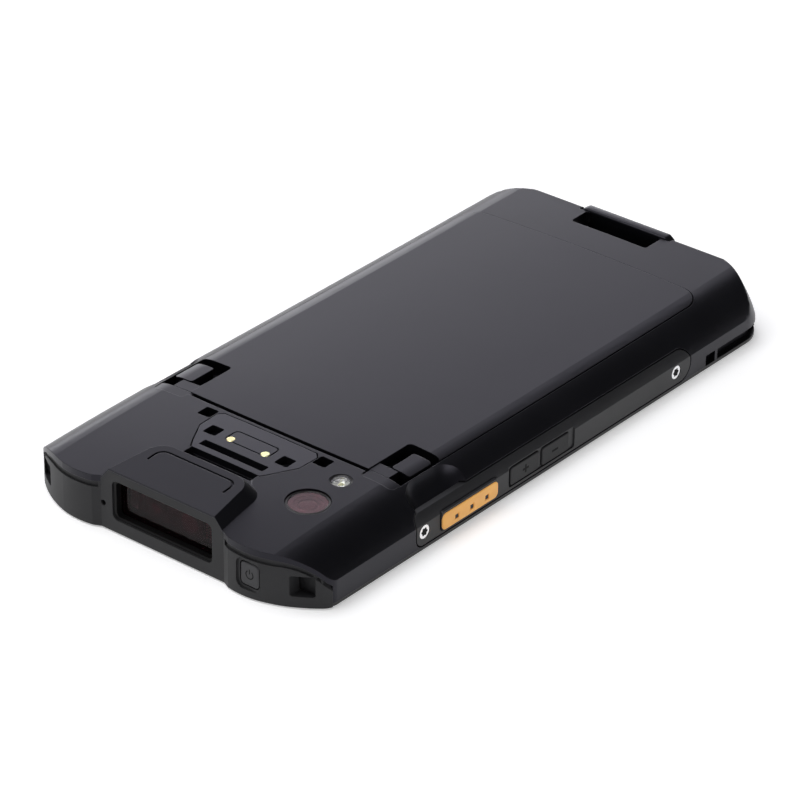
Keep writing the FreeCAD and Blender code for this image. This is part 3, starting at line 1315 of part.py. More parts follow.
os.makedirs("parts", exist_ok=True)
for name, shape in build_parts().items():
    shape.exportStep("parts/" + name + ".step")
    print(name, len(shape.Solids), round(shape.Volume, 1), shape.isValid())
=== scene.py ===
"""Looks of a slim data terminal that lies on its screen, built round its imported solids."""

import json
import logging
import math
from dataclasses import dataclass
from enum import Enum
from typing import Callable, Sequence

import bmesh
import bpy
from mathutils import Matrix, Vector
from mathutils.bvhtree import BVHTree
from mathutils.interpolate import poly_3d_calc

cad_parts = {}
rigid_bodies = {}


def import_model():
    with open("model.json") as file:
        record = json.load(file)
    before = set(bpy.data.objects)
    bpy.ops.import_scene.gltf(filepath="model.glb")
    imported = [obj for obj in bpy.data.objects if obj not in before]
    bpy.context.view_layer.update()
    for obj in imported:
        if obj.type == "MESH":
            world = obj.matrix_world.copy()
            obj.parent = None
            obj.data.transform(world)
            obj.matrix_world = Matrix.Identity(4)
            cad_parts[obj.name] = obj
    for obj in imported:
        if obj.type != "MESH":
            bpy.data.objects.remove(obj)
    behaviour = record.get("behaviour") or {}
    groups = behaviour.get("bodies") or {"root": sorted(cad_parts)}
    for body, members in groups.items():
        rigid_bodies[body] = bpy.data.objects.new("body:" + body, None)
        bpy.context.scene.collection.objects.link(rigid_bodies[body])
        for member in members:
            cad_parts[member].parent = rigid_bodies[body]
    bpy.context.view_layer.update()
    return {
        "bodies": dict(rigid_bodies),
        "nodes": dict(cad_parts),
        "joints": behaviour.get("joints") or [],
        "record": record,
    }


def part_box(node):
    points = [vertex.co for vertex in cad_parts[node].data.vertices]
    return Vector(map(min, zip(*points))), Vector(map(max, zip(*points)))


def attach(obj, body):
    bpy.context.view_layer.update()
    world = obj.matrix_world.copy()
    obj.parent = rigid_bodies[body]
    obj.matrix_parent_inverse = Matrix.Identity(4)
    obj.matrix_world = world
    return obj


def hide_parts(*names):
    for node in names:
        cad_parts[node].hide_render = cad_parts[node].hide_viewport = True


LOG = logging.getLogger("terminal")
MM = 0.001
UP = Vector((0, 0, 1))
MERGE_GAP = 1e-7
ON_SURFACE = 3e-6
PIECE_SHARP = 0.6
CUT_SHARP = 0.5
EASED_SHARP = 0.7
ABOVE_BACK = 20.0
Colour = tuple[float, float, float]
Outline = list[tuple[float, float]]
Placing = Callable[[float, float, float], Vector]
Frame = dict


class Side(Enum):
    """The two long sides of the terminal, by the sign of X."""

    LEFT = -1
    RIGHT = 1


class Weave(Enum):
    """The kinds of fine surface that a mould or a tool leaves."""

    SPARK = "spark"
    BRUSHED = "brushed"
    SMOOTH = "smooth"


class Graph:
    """A small helper that adds and joins the nodes of one material."""

    def __init__(self, name: str) -> None:
        """Start a material with only its shader and output.

        Args:
            name: The material's name.
        """
        self.material = bpy.data.materials.new(name)
        self.material.use_nodes = True
        self.tree = self.material.node_tree
        self.shader = self.tree.nodes["Principled BSDF"]

    def add(self, kind: str, values: dict | None = None, **settings: object) -> bpy.types.Node:
        """Add a node.

        Args:
            kind: Blender's name of the node type.
            values: Input sockets by name with their constant values.
            settings: Properties of the node itself.

        Returns:
            The new node.
        """
        node = self.tree.nodes.new(kind)
        for key, value in settings.items():
            setattr(node, key, value)
        for key, value in (values or {}).items():
            node.inputs[key].default_value = value
        return node

    def join(self, source: bpy.types.NodeSocket, target: bpy.types.NodeSocket) -> None:
        """Link one output to one input."""
        self.tree.links.new(source, target)

    def noise(self, size: float, detail: float = 2.0, stretch: Colour = (1, 1, 1)) -> bpy.types.NodeSocket:
        """A noise pattern in the object's own space.

        Args:
            size: The size of one blob in metres.
            detail: How many finer layers the noise has.
            stretch: Scale of the pattern along each axis.

        Returns:
            The noise's factor output.
        """
        place = self.add("ShaderNodeTexCoord")
        mapping = self.add("ShaderNodeMapping", {"Scale": stretch})
        pattern = self.add("ShaderNodeTexNoise", {"Scale": 1 / size, "Detail": detail, "Roughness": 0.55})
        self.join(place.outputs["Object"], mapping.inputs["Vector"])
        self.join(mapping.outputs["Vector"], pattern.inputs["Vector"])
        return pattern.outputs["Fac"]

    def remap(
        self, source: bpy.types.NodeSocket, low: float, high: float, to_low: float, to_high: float
    ) -> bpy.types.NodeSocket:
        """Map one range of numbers to another, clamped at its ends.

        Args:
            source: The output to read.
            low: Start of the source range.
            high: End of the source range.
            to_low: What the start turns into.
            to_high: What the end turns into.

        Returns:
            The mapped output.
        """
        limits = {"From Min": low, "From Max": high, "To Min": to_low, "To Max": to_high}
        node = self.add("ShaderNodeMapRange", limits)
        self.join(source, node.inputs["Value"])
        return node.outputs["Result"]

    def multiply(self, first: bpy.types.NodeSocket, second: bpy.types.NodeSocket) -> bpy.types.NodeSocket:
        """Multiply two outputs.

        Args:
            first: The first factor.
            second: The second factor.

        Returns:
            The product's output.
        """
        node = self.add("ShaderNodeMath", operation="MULTIPLY")
        self.join(first, node.inputs[0])
        self.join(second, node.inputs[1])
        return node.outputs["Value"]

    def blend(self, factor: bpy.types.NodeSocket, first: object, second: Colour) -> bpy.types.NodeSocket:
        """Mix two colours by a factor.

        Args:
            factor: The mixing output.
            first: A colour or a colour output, where the factor is 0.
            second: The colour where the factor is 1.

        Returns:
            The mixed colour output.
        """
        node = self.add("ShaderNodeMix", data_type="RGBA")
        colours = [socket for socket in node.inputs if socket.type == "RGBA"]
        self.join(factor, node.inputs[0])
        if isinstance(first, tuple):
            colours[0].default_value = (*first, 1)
        else:
            self.join(first, colours[0])
        colours[1].default_value = (*second, 1)
        return [socket for socket in node.outputs if socket.type == "RGBA"][0]

    def set(self, **values: object) -> None:
        """Set constant values on the shader's own sockets, with spaces written as underscores."""
        for key, value in values.items():
            self.shader.inputs[key.replace("_", " ")].default_value = value


@dataclass(frozen=True)
class Finish:
    """A surface finish and how to mix it from nodes."""

    name: str
    colour: Colour
    roughness: float
    weave: Weave = Weave.SPARK
    grain: float = 0.22
    depth: float = 0.006
    spread: float = 0.05
    metallic: float = 0.0
    specular: float = 0.5
    tint: Colour = (1.0, 1.0, 1.0)
    edge: float = 0.18
    wear: Colour = (0.10, 0.10, 0.105)
    wear_share: float = 0.35
    coat: float = 0.0
    sheen: float = 0.0

    def build(self) -> bpy.types.Material:
        """Mix the finish: mottled colour, smudged gloss, grain and worn, rounded edges.

        Returns:
            The finished material.
        """
        graph = Graph(self.name)
        mottle = graph.noise(14 * MM, 4)
        shade = tuple(channel * 1.35 + 0.0004 for channel in self.colour)
        colour = graph.blend(graph.remap(mottle, 0.35, 0.7, 0, 1), self.colour, shade)
        rounded = graph.add("ShaderNodeBevel", {"Radius": self.edge * MM}, samples=4)
        if self.wear_share > 0:
            flat = graph.add("ShaderNodeNewGeometry")
            turn = graph.add("ShaderNodeVectorMath", operation="DOT_PRODUCT")
            graph.join(rounded.outputs["Normal"], turn.inputs[0])
            graph.join(flat.outputs["Normal"], turn.inputs[1])
            edges = graph.remap(turn.outputs["Value"], 0.97, 0.80, 0, self.wear_share)
            chips = graph.remap(graph.noise(0.5 * MM, 3), 0.45, 0.68, 0, 1)
            colour = graph.blend(graph.multiply(edges, chips), colour, self.wear)
        graph.join(colour, graph.shader.inputs["Base Color"])
        smudge = graph.noise(22 * MM, 5)
        gloss = graph.remap(smudge, 0.3, 0.75, self.roughness - self.spread, self.roughness + self.spread)
        graph.join(gloss, graph.shader.inputs["Roughness"])
        if self.weave is Weave.SMOOTH:
            height = graph.noise(2.5 * MM, 1)
        elif self.weave is Weave.BRUSHED:
            height = graph.noise(self.grain * MM, 2, (1.0, 0.05, 1.0))
        else:
            height = graph.noise(self.grain * MM, 3)
        bump = graph.add("ShaderNodeBump", {"Strength": 0.6, "Distance": self.depth * MM})
        graph.join(height, bump.inputs["Height"])
        graph.join(rounded.outputs["Normal"], bump.inputs["Normal"])
        graph.join(bump.outputs["Normal"], graph.shader.inputs["Normal"])
        graph.set(Metallic=self.metallic, Specular_IOR_Level=self.specular, Specular_Tint=(*self.tint, 1))
        graph.set(Coat_Weight=self.coat, Coat_Roughness=0.12, Sheen_Weight=self.sheen, Sheen_Roughness=0.5)
        return graph.material


@dataclass(frozen=True)
class Glass:
    """A clear or tinted glass, with faint smears in its gloss."""

    name: str
    colour: Colour
    roughness: float = 0.02
    transmission: float = 1.0
    index: float = 1.45
    specular: float = 0.5
    coat: float = 0.0

    def build(self) -> bpy.types.Material:
        """Mix the glass.

        Returns:
            The finished material.
        """
        graph = Graph(self.name)
        smear = graph.noise(9 * MM, 4)
        second = tuple(min(1.0, channel * 1.12 + 0.001) for channel in self.colour)
        colour = graph.blend(graph.remap(smear, 0.4, 0.7, 0, 1), self.colour, second)
        graph.join(colour, graph.shader.inputs["Base Color"])
        gloss = graph.remap(smear, 0.45, 0.8, self.roughness, self.roughness + 0.05)
        graph.join(gloss, graph.shader.inputs["Roughness"])
        graph.set(Transmission_Weight=self.transmission, IOR=self.index, Specular_IOR_Level=self.specular)
        graph.set(Coat_Weight=self.coat, Coat_Roughness=0.03)
        return graph.material


@dataclass(frozen=True)
class Circuit:
    """Solder mask with the faint relief of tracks under it."""

    name: str
    colour: Colour

    def build(self) -> bpy.types.Material:
        """Mix the mask.

        Returns:
            The finished material.
        """
        graph = Graph(self.name)
        place = graph.add("ShaderNodeTexCoord")
        tracks = graph.add("ShaderNodeTexBrick", {"Scale": 260.0, "Mortar Size": 0.012, "Bias": -0.2})
        tracks.inputs["Color1"].default_value = (*self.colour, 1)
        tracks.inputs["Color2"].default_value = (*(0.8 * channel for channel in self.colour), 1)
        tracks.inputs["Mortar"].default_value = (*(1.6 * channel for channel in self.colour), 1)
        graph.join(place.outputs["Object"], tracks.inputs["Vector"])
        graph.join(tracks.outputs["Color"], graph.shader.inputs["Base Color"])
        gloss = graph.remap(graph.noise(6 * MM, 3), 0.3, 0.7, 0.32, 0.46)
        graph.join(gloss, graph.shader.inputs["Roughness"])
        return graph.material


@dataclass(frozen=True)
class PrintedGlass:
    """Screen glass: a black printed border round a slightly lighter switched-off display."""

    name: str
    half_x: float
    half_y: float
    middle_y: float = 2.0
    border_blur: float = 0.15

    def build(self) -> bpy.types.Material:
        """Mix the glass with its border placed by the object's own coordinates.

        Returns:
            The finished material.
        """
        graph = Graph(self.name)
        place = graph.add("ShaderNodeTexCoord")
        split = graph.add("ShaderNodeSeparateXYZ")
        graph.join(place.outputs["Object"], split.inputs["Vector"])
        inside = None
        for axis, half, middle in (("X", self.half_x, 0.0), ("Y", self.half_y, self.middle_y)):
            shift = graph.add("ShaderNodeMath", {1: -middle * MM}, operation="ADD")
            size = graph.add("ShaderNodeMath", operation="ABSOLUTE")
            graph.join(split.outputs[axis], shift.inputs[0])
            graph.join(shift.outputs["Value"], size.inputs[0])
            mask = graph.remap(size.outputs["Value"], half * MM, (half + self.border_blur) * MM, 1, 0)
            inside = mask if inside is None else graph.multiply(inside, mask)
        colour = graph.blend(inside, (0.0015, 0.0015, 0.0016), (0.006, 0.0065, 0.0085))
        graph.join(colour, graph.shader.inputs["Base Color"])
        gloss = graph.remap(graph.noise(16 * MM, 5), 0.45, 0.75, 0.03, 0.09)
        graph.join(gloss, graph.shader.inputs["Roughness"])
        graph.set(Specular_IOR_Level=0.5, Coat_Weight=0.3, Coat_Roughness=0.02)
        return graph.material


class Palette:
    """Every finish of the terminal, built once."""

    def __init__(self) -> None:
        """Build each finish by its name."""
        violet = (0.84, 0.82, 1.0)
        near_black = (0.0022, 0.0022, 0.0028)
        finishes = (
            Finish("satin_back", near_black, 0.33, grain=0.3, depth=0.002, spread=0.03,
                   tint=violet, specular=0.32),
            Finish("satin_pack", near_black, 0.30, grain=0.3, depth=0.0012, spread=0.02,
                   tint=violet, specular=0.32),
            Finish("soft_bumper", (0.0105, 0.0105, 0.0118), 0.55, grain=0.12, depth=0.004,
                   specular=0.35, wear_share=0.12, sheen=0.05, wear=(0.05, 0.05, 0.052)),
            Finish("rim_plastic", (0.0035, 0.0035, 0.004), 0.42, grain=0.18, wear_share=0.2),
            Finish("strip_plastic", (0.0095, 0.0095, 0.0112), 0.46, grain=0.12, depth=0.005,
                   specular=0.42, edge=0.14, wear_share=0.2),
            Finish("key_rubber", (0.008, 0.008, 0.0092), 0.5, grain=0.12, specular=0.3,
                   edge=0.12, wear_share=0.15),
            Finish("power_key", (0.024, 0.024, 0.027), 0.45, grain=0.12, specular=0.4,
                   edge=0.12, wear_share=0.2),
            Finish("amber_key", (1.0, 0.50, 0.115), 0.42, grain=0.2, depth=0.004, edge=0.12,
                   wear=(0.85, 0.55, 0.22), wear_share=0.4, coat=0.1),
            # dark marks for the key symbols; on the screw drives this near-black is painted shade standing
            # for the hollow socket
            Finish("engraving", (0.0012, 0.0012, 0.0014), 0.7, grain=0.1,
                   wear_share=0.0, specular=0.2, edge=0.02),
            Finish("plate_black", (0.0032, 0.0032, 0.004), 0.36, grain=0.14, depth=0.004,
                   tint=violet, edge=0.12),
            Finish("contact_gold", (0.98, 0.78, 0.42), 0.2, Weave.SMOOTH, metallic=1.0, edge=0.1,
                   wear=(0.9, 0.85, 0.75), wear_share=0.1),
            Finish("screw_steel", (0.72, 0.72, 0.73), 0.24, Weave.BRUSHED, metallic=1.0, edge=0.1,
                   wear=(0.9, 0.9, 0.9), wear_share=0.2),
            Finish("cast_metal", (0.55, 0.55, 0.57), 0.42, metallic=1.0, wear=(0.7, 0.7, 0.7)),
            Finish("tin_cans", (0.62, 0.62, 0.6), 0.3, Weave.BRUSHED, metallic=1.0, wear=(0.8, 0.8, 0.8)),
            Finish("foam_gasket", (0.006, 0.006, 0.006), 0.85, grain=0.3, depth=0.02,
                   specular=0.2, wear_share=0.0),
            # painted shade: near-black for the frame put inside the scan window's recess, where its walls
            # are shaded
            Finish("liner_black", (0.0015, 0.0014, 0.0016), 0.5, grain=0.2,
                   specular=0.25, wear_share=0.0, edge=0.08),
            Finish("block_black", (0.008, 0.006, 0.0065), 0.4, grain=0.2, wear_share=0.1, edge=0.1),
            Finish("camera_well", (0.115, 0.058, 0.072), 0.3, Weave.SMOOTH, edge=0.05, wear_share=0.0),
            Finish("lens_ring", (0.03, 0.022, 0.024), 0.22, Weave.SMOOTH, edge=0.05, wear_share=0.2),
            # painted highlight: pale white on the dome and facets behind the scan window, standing for
            # bright glints
            Finish("facet_white", (0.75, 0.72, 0.72), 0.3, Weave.SMOOTH, edge=0.04, wear_share=0.0),
            Finish("phosphor", (0.86, 0.82, 0.38), 0.6, grain=0.08, wear_share=0.0, edge=0.03),
            Finish("reflector", (0.78, 0.78, 0.74), 0.22, Weave.SMOOTH, metallic=0.6,
                   wear_share=0.0, edge=0.03),
            Finish("cell_film", (0.03, 0.03, 0.036), 0.22, Weave.SMOOTH, wear_share=0.0, coat=0.3),
            Finish("label_film", (0.05, 0.05, 0.055), 0.5, grain=0.4, wear_share=0.0),
            Finish("capsule", (0.012, 0.012, 0.012), 0.5, wear_share=0.1),
            Finish("display_back", (0.006, 0.006, 0.008), 0.18, Weave.SMOOTH, wear_share=0.0),
            Finish("mesh_steel", (0.3, 0.3, 0.31), 0.38, Weave.BRUSHED, metallic=0.9, wear_share=0.0),
            Glass("scan_glass", (0.20, 0.06, 0.08), 0.012, 0.98, 1.2, 0.22),
            Glass("camera_glass", (0.62, 0.44, 0.46), 0.015, 1.0, 1.3, 0.3),
            Glass("flash_clear", (0.97, 0.98, 0.95), 0.03, 1.0, 1.4),
            Glass("engine_lens", (0.16, 0.10, 0.14), 0.04, 0.0, 1.6, 1.0, 0.8),
            Circuit("solder_mask", (0.012, 0.09, 0.035)),
            PrintedGlass("screen_glass", 32.5, 58.0),
        )
        self.materials = {finish.name: finish.build() for finish in finishes}

    def paint(self, piece: bpy.types.Object, finish: str) -> None:
        """Give a piece one finish.

        Args:
            piece: The object to dress.
            finish: The finish's name.
        """
        piece.data.materials.clear()
        piece.data.materials.append(self.materials[finish])


def mesh_piece(name: str, bm: bmesh.types.BMesh, sharp: float = PIECE_SHARP) -> bpy.types.Object:
    """Turn built geometry into a linked, smoothly shaded object.

    Args:
        name: The piece's name.
        bm: The geometry, which is freed.
        sharp: The angle in radians above which an edge stays sharp.

    Returns:
        The new object.
    """
    bmesh.ops.recalc_face_normals(bm, faces=bm.faces)
    mesh = bpy.data.meshes.new(name)
    bm.to_mesh(mesh)
    bm.free()
    mesh.polygons.foreach_set("use_smooth", [True] * len(mesh.polygons))
    mesh.set_sharp_from_angle(angle=sharp)
    piece = bpy.data.objects.new(name, mesh)
    bpy.context.scene.collection.objects.link(piece)
    return piece


def turned(
    name: str, profile: Sequence[tuple[float, float]], centre: Vector, axis: Vector, segments: int = 56
) -> bpy.types.Object:
    """A closed piece turned about an axis.

    Args:
        name: The piece's name.
        profile: Radius and height pairs in mm, from the axis round to the axis.
        centre: Where height 0 lies on the axis, in metres.
        axis: The direction of height.
        segments: How many facets go round.

    Returns:
        The new object.
    """
    bm = bmesh.new()
    spin = axis.to_track_quat("Z", "Y").to_matrix()
    rings = []
    for radius, height in profile:
        steps = 1 if radius == 0 else segments
        ring = []
        for step in range(steps):
            angle = 2 * math.pi * step / steps
            local = Vector((radius * math.cos(angle), radius * math.sin(angle), height)) * MM
            ring.append(bm.verts.new(centre + spin @ local))
        rings.append(ring)
    for low, high in zip(rings, rings[1:]):
        for step in range(segments):
            after = (step + 1) % segments
            corners = list(dict.fromkeys((
                low[step % len(low)], low[after % len(low)],
                high[after % len(high)], high[step % len(high)])))
            if len(corners) > 2:
                bm.faces.new(corners)
    return mesh_piece(name, bm)


def slab(
    name: str,
    outlines: Sequence[Outline],
    place: Placing,
    low: float,
    high: float,
    ease: float = 0.0,
) -> bpy.types.Object:
    """Flat shapes drawn as outlines and given a thickness, as one object.

    Args:
        name: The piece's name.
        outlines: Closed outlines in mm, each as (u, v) points.
        place: Turns (u, v, w) in mm into a point in mm.
        low: The w of the hidden face.
        high: The w of the shown face.
        ease: How far the shown face's rim is drawn in, in mm.

    Returns:
        The new object.
    """
    bm = bmesh.new()
    for outline in outlines:
        middle_u = sum(point[0] for point in outline) / len(outline)
        middle_v = sum(point[1] for point in outline) / len(outline)
        layers = [(low, 0.0), (high - ease, 0.0), (high, ease)] if ease else [(low, 0.0), (high, 0.0)]
        rings = []
        for height, inset in layers:
            ring = []
            for u, v in outline:
                reach = math.hypot(u - middle_u, v - middle_v) or 1.0
                scale = 1 - inset / reach
                ring.append(bm.verts.new(MM * place(
                    middle_u + (u - middle_u) * scale, middle_v + (v - middle_v) * scale, height)))
            rings.append(ring)
        for first, second in zip(rings, rings[1:]):
            for index in range(len(first)):
                after = (index + 1) % len(first)
                bm.faces.new([first[index], first[after], second[after], second[index]])
        bm.faces.new(rings[0])
        bm.faces.new(rings[-1])
    return mesh_piece(name, bm, CUT_SHARP)


def rounded_box(u0: float, u1: float, v0: float, v1: float, radius: float) -> Outline:
    """The outline of a rectangle with rounded corners, in mm.

    Args:
        u0: Its low end in u.
        u1: Its high end in u.
        v0: Its low end in v.
        v1: Its high end in v.
        radius: The corners' radius.

    Returns:
        The outline's points.
    """
    points = []
    corners = ((u1 - radius, v0 + radius, -90), (u1 - radius, v1 - radius, 0),
               (u0 + radius, v1 - radius, 90), (u0 + radius, v0 + radius, 180))
    for u, v, start in corners:
        for step in range(5):
            angle = math.radians(start + 22.5 * step)
            points.append((u + radius * math.cos(angle), v + radius * math.sin(angle)))
    return points


def ring_stroke(
    u: float, v: float, radius: float, width: float, start: float, end: float, steps: int = 20
) -> list[Outline]:
    """A curved stroke as short closed patches, so that each stays convex.

    Args:
        u: The ring's centre in u, in mm.
        v: The ring's centre in v, in mm.
        radius: The radius of the stroke's middle line, in mm.
        width: The stroke's width, in mm.
        start: Where it starts, in degrees.
        end: Where it ends, in degrees.
        steps: How many patches it has.

    Returns:
        The patches' outlines.
    """
    inner, outer = radius - width / 2, radius + width / 2
    patches = []
    for step in range(steps):
        first = start + (end - start) * step / steps
        second = start + (end - start) * (step + 1) / steps
        corners = []
        for angle, size in ((first, inner), (first, outer), (second, outer), (second, inner)):
            turn = math.radians(angle)
            corners.append((u + size * math.cos(turn), v + size * math.sin(turn)))
        patches.append(corners)
    return patches


def side_face(side: Side, face: float) -> Placing:
    """How an outline is laid on one long side of the terminal.

    Args:
        side: The side.
        face: How far the face stands from the middle, in mm.

    Returns:
        A function from (along Y, up, outward) in mm to a point in mm.
    """
    return lambda along, up, out: Vector((side.value * (face + out), along, up))


def surface_tree(mesh: bpy.types.Mesh) -> BVHTree:
    """A search tree over a mesh's faces."""
    return BVHTree.FromPolygons(
        [vert.co for vert in mesh.vertices], [tuple(face.vertices) for face in mesh.polygons])


def carve(source: bpy.types.Object, name: str, cutters: Sequence[bpy.types.Object]) -> bpy.types.Object:
    """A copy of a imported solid's mesh with hollows cut into it.

    Args:
        source: The node whose mesh is copied.
        name: The new piece's name.
        cutters: The shapes to take away, which are deleted.

    Returns:
        The carved object.
    """
    bm = bmesh.new()
    bm.from_mesh(source.data)
    bmesh.ops.remove_doubles(bm, verts=bm.verts, dist=MERGE_GAP)
    piece = mesh_piece(name, bm)
    for cutter in cutters:
        tool = piece.modifiers.new("hollow", "BOOLEAN")
        tool.operation = "DIFFERENCE"
        tool.solver = "EXACT"
        tool.object = cutter
    bpy.context.view_layer.update()
    evaluated = piece.evaluated_get(bpy.context.evaluated_depsgraph_get())
    mesh = bpy.data.meshes.new_from_object(evaluated)
    piece.modifiers.clear()
    piece.data = mesh
    mesh.polygons.foreach_set("use_smooth", [True] * len(mesh.polygons))
    mesh.set_sharp_from_angle(angle=CUT_SHARP)
    for cutter in cutters:
        bpy.data.objects.remove(cutter)
    return piece


def cylinder_cutter(x: float, y: float, radius: float, low: float) -> bpy.types.Object:
    """An upright round cutter that reaches out of the back.

    Args:
        x: Its centre in X, in mm.
        y: Its centre in Y, in mm.
        radius: Its radius, in mm.
        low: The height of its lower end, in mm.

    Returns:
        The cutter.
    """
    profile = [(0, low), (radius, low), (radius, ABOVE_BACK), (0, ABOVE_BACK)]
    return turned("cutter", profile, Vector((x, y, 0)) * MM, UP, 72)


def slot_cutter(half: float, y: float, width: float, low: float) -> bpy.types.Object:
    """An upright slot-shaped cutter across the middle of the back.

    Args:
        half: Half its length along X, in mm.
        y: Its middle line in Y, in mm.
        width: Its width, in mm.
        low: The height of its lower end, in mm.

    Returns:
        The cutter.
    """
    outline = rounded_box(-half, half, y - width / 2, y + width / 2, 0.3)
    return slab("cutter", [outline], lambda u, v, w: Vector((u, v, w)), low, ABOVE_BACK)


def eased(piece: bpy.types.Object, width: float, segments: int = 3) -> bpy.types.Object:
    """Round every sharp edge of a piece.

    Args:
        piece: The piece.
        width: The rounding's width in mm.
        segments: How many facets the rounding has.

    Returns:
        The same piece.
    """
    bm = bmesh.new()
    bm.from_mesh(piece.data)
    edges = [edge for edge in bm.edges if len(edge.link_faces) == 2 and edge.calc_face_angle() > CUT_SHARP]
    bmesh.ops.bevel(bm, geom=edges, offset=width * MM, segments=segments, profile=0.5, affect="EDGES")
    bm.to_mesh(piece.data)
    bm.free()
    piece.data.polygons.foreach_set("use_smooth", [True] * len(piece.data.polygons))
    piece.data.set_sharp_from_angle(angle=EASED_SHARP)
    return piece


def borrowed_normals(piece: bpy.types.Object, source: bpy.types.Object) -> list[Vector]:
    """Corner normals for a carved copy, read off the solid that it was carved from.

    Args:
        piece: The carved copy.
        source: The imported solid.

    Returns:
        One normal for each corner of the copy.
    """
    known = source.data
    corner_normals = [corner.vector.copy() for corner in known.corner_normals]
    tree = surface_tree(known)
    mesh = piece.data
    normals = [UP] * len(mesh.loops)
    for face in mesh.polygons:
        centre = face.center.copy()
        flat = face.normal.copy()
        for index in face.loop_indices:
            probe = mesh.vertices[mesh.loops[index].vertex_index].co.lerp(centre, 0.03)
            _, _, nearest, distance = tree.find_nearest(probe)
            polygon = known.polygons[nearest]
            normals[index] = flat
            if distance > ON_SURFACE or polygon.normal.dot(flat) < 0.8:
                continue
            corners = [known.vertices[vert].co for vert in polygon.vertices]
            weights = poly_3d_calc(corners, probe)
            mixed = Vector((0, 0, 0))
            for weight, corner in zip(weights, polygon.loop_indices):
                mixed += corner_normals[corner] * weight
            if mixed.length > 0.5 and mixed.normalized().dot(flat) > 0.5:
                normals[index] = mixed.normalized()
    return normals


@dataclass
class Assembly:
    """What every sub-assembly shares: the frame, the finishes and how pieces are fitted."""

    frame: Frame
    palette: Palette

    def dress(self, finishes: dict[str, str]) -> None:
        """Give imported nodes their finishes.

        Args:
            finishes: Finish names by node name.
        """
        for node, finish in finishes.items():
            self.palette.paint(self.frame["nodes"][node], finish)
            LOG.info("dressed %s with %s", node, finish)

    def fit(self, piece: bpy.types.Object, body: str, slot: str, finish: str, *replaced: str) -> None:
        """Fix a piece to a body and give it its finish.

        Args:
            piece: The new piece.
            body: The body that it moves with.
            slot: The record's material slot; not used.
            finish: The finish's name.
            replaced: Nodes that the piece stands for.
        """
        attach(piece, body)
        if replaced:
            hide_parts(*replaced)
        self.palette.paint(piece, finish)
        LOG.info("fitted %s on %s", piece.name, body)


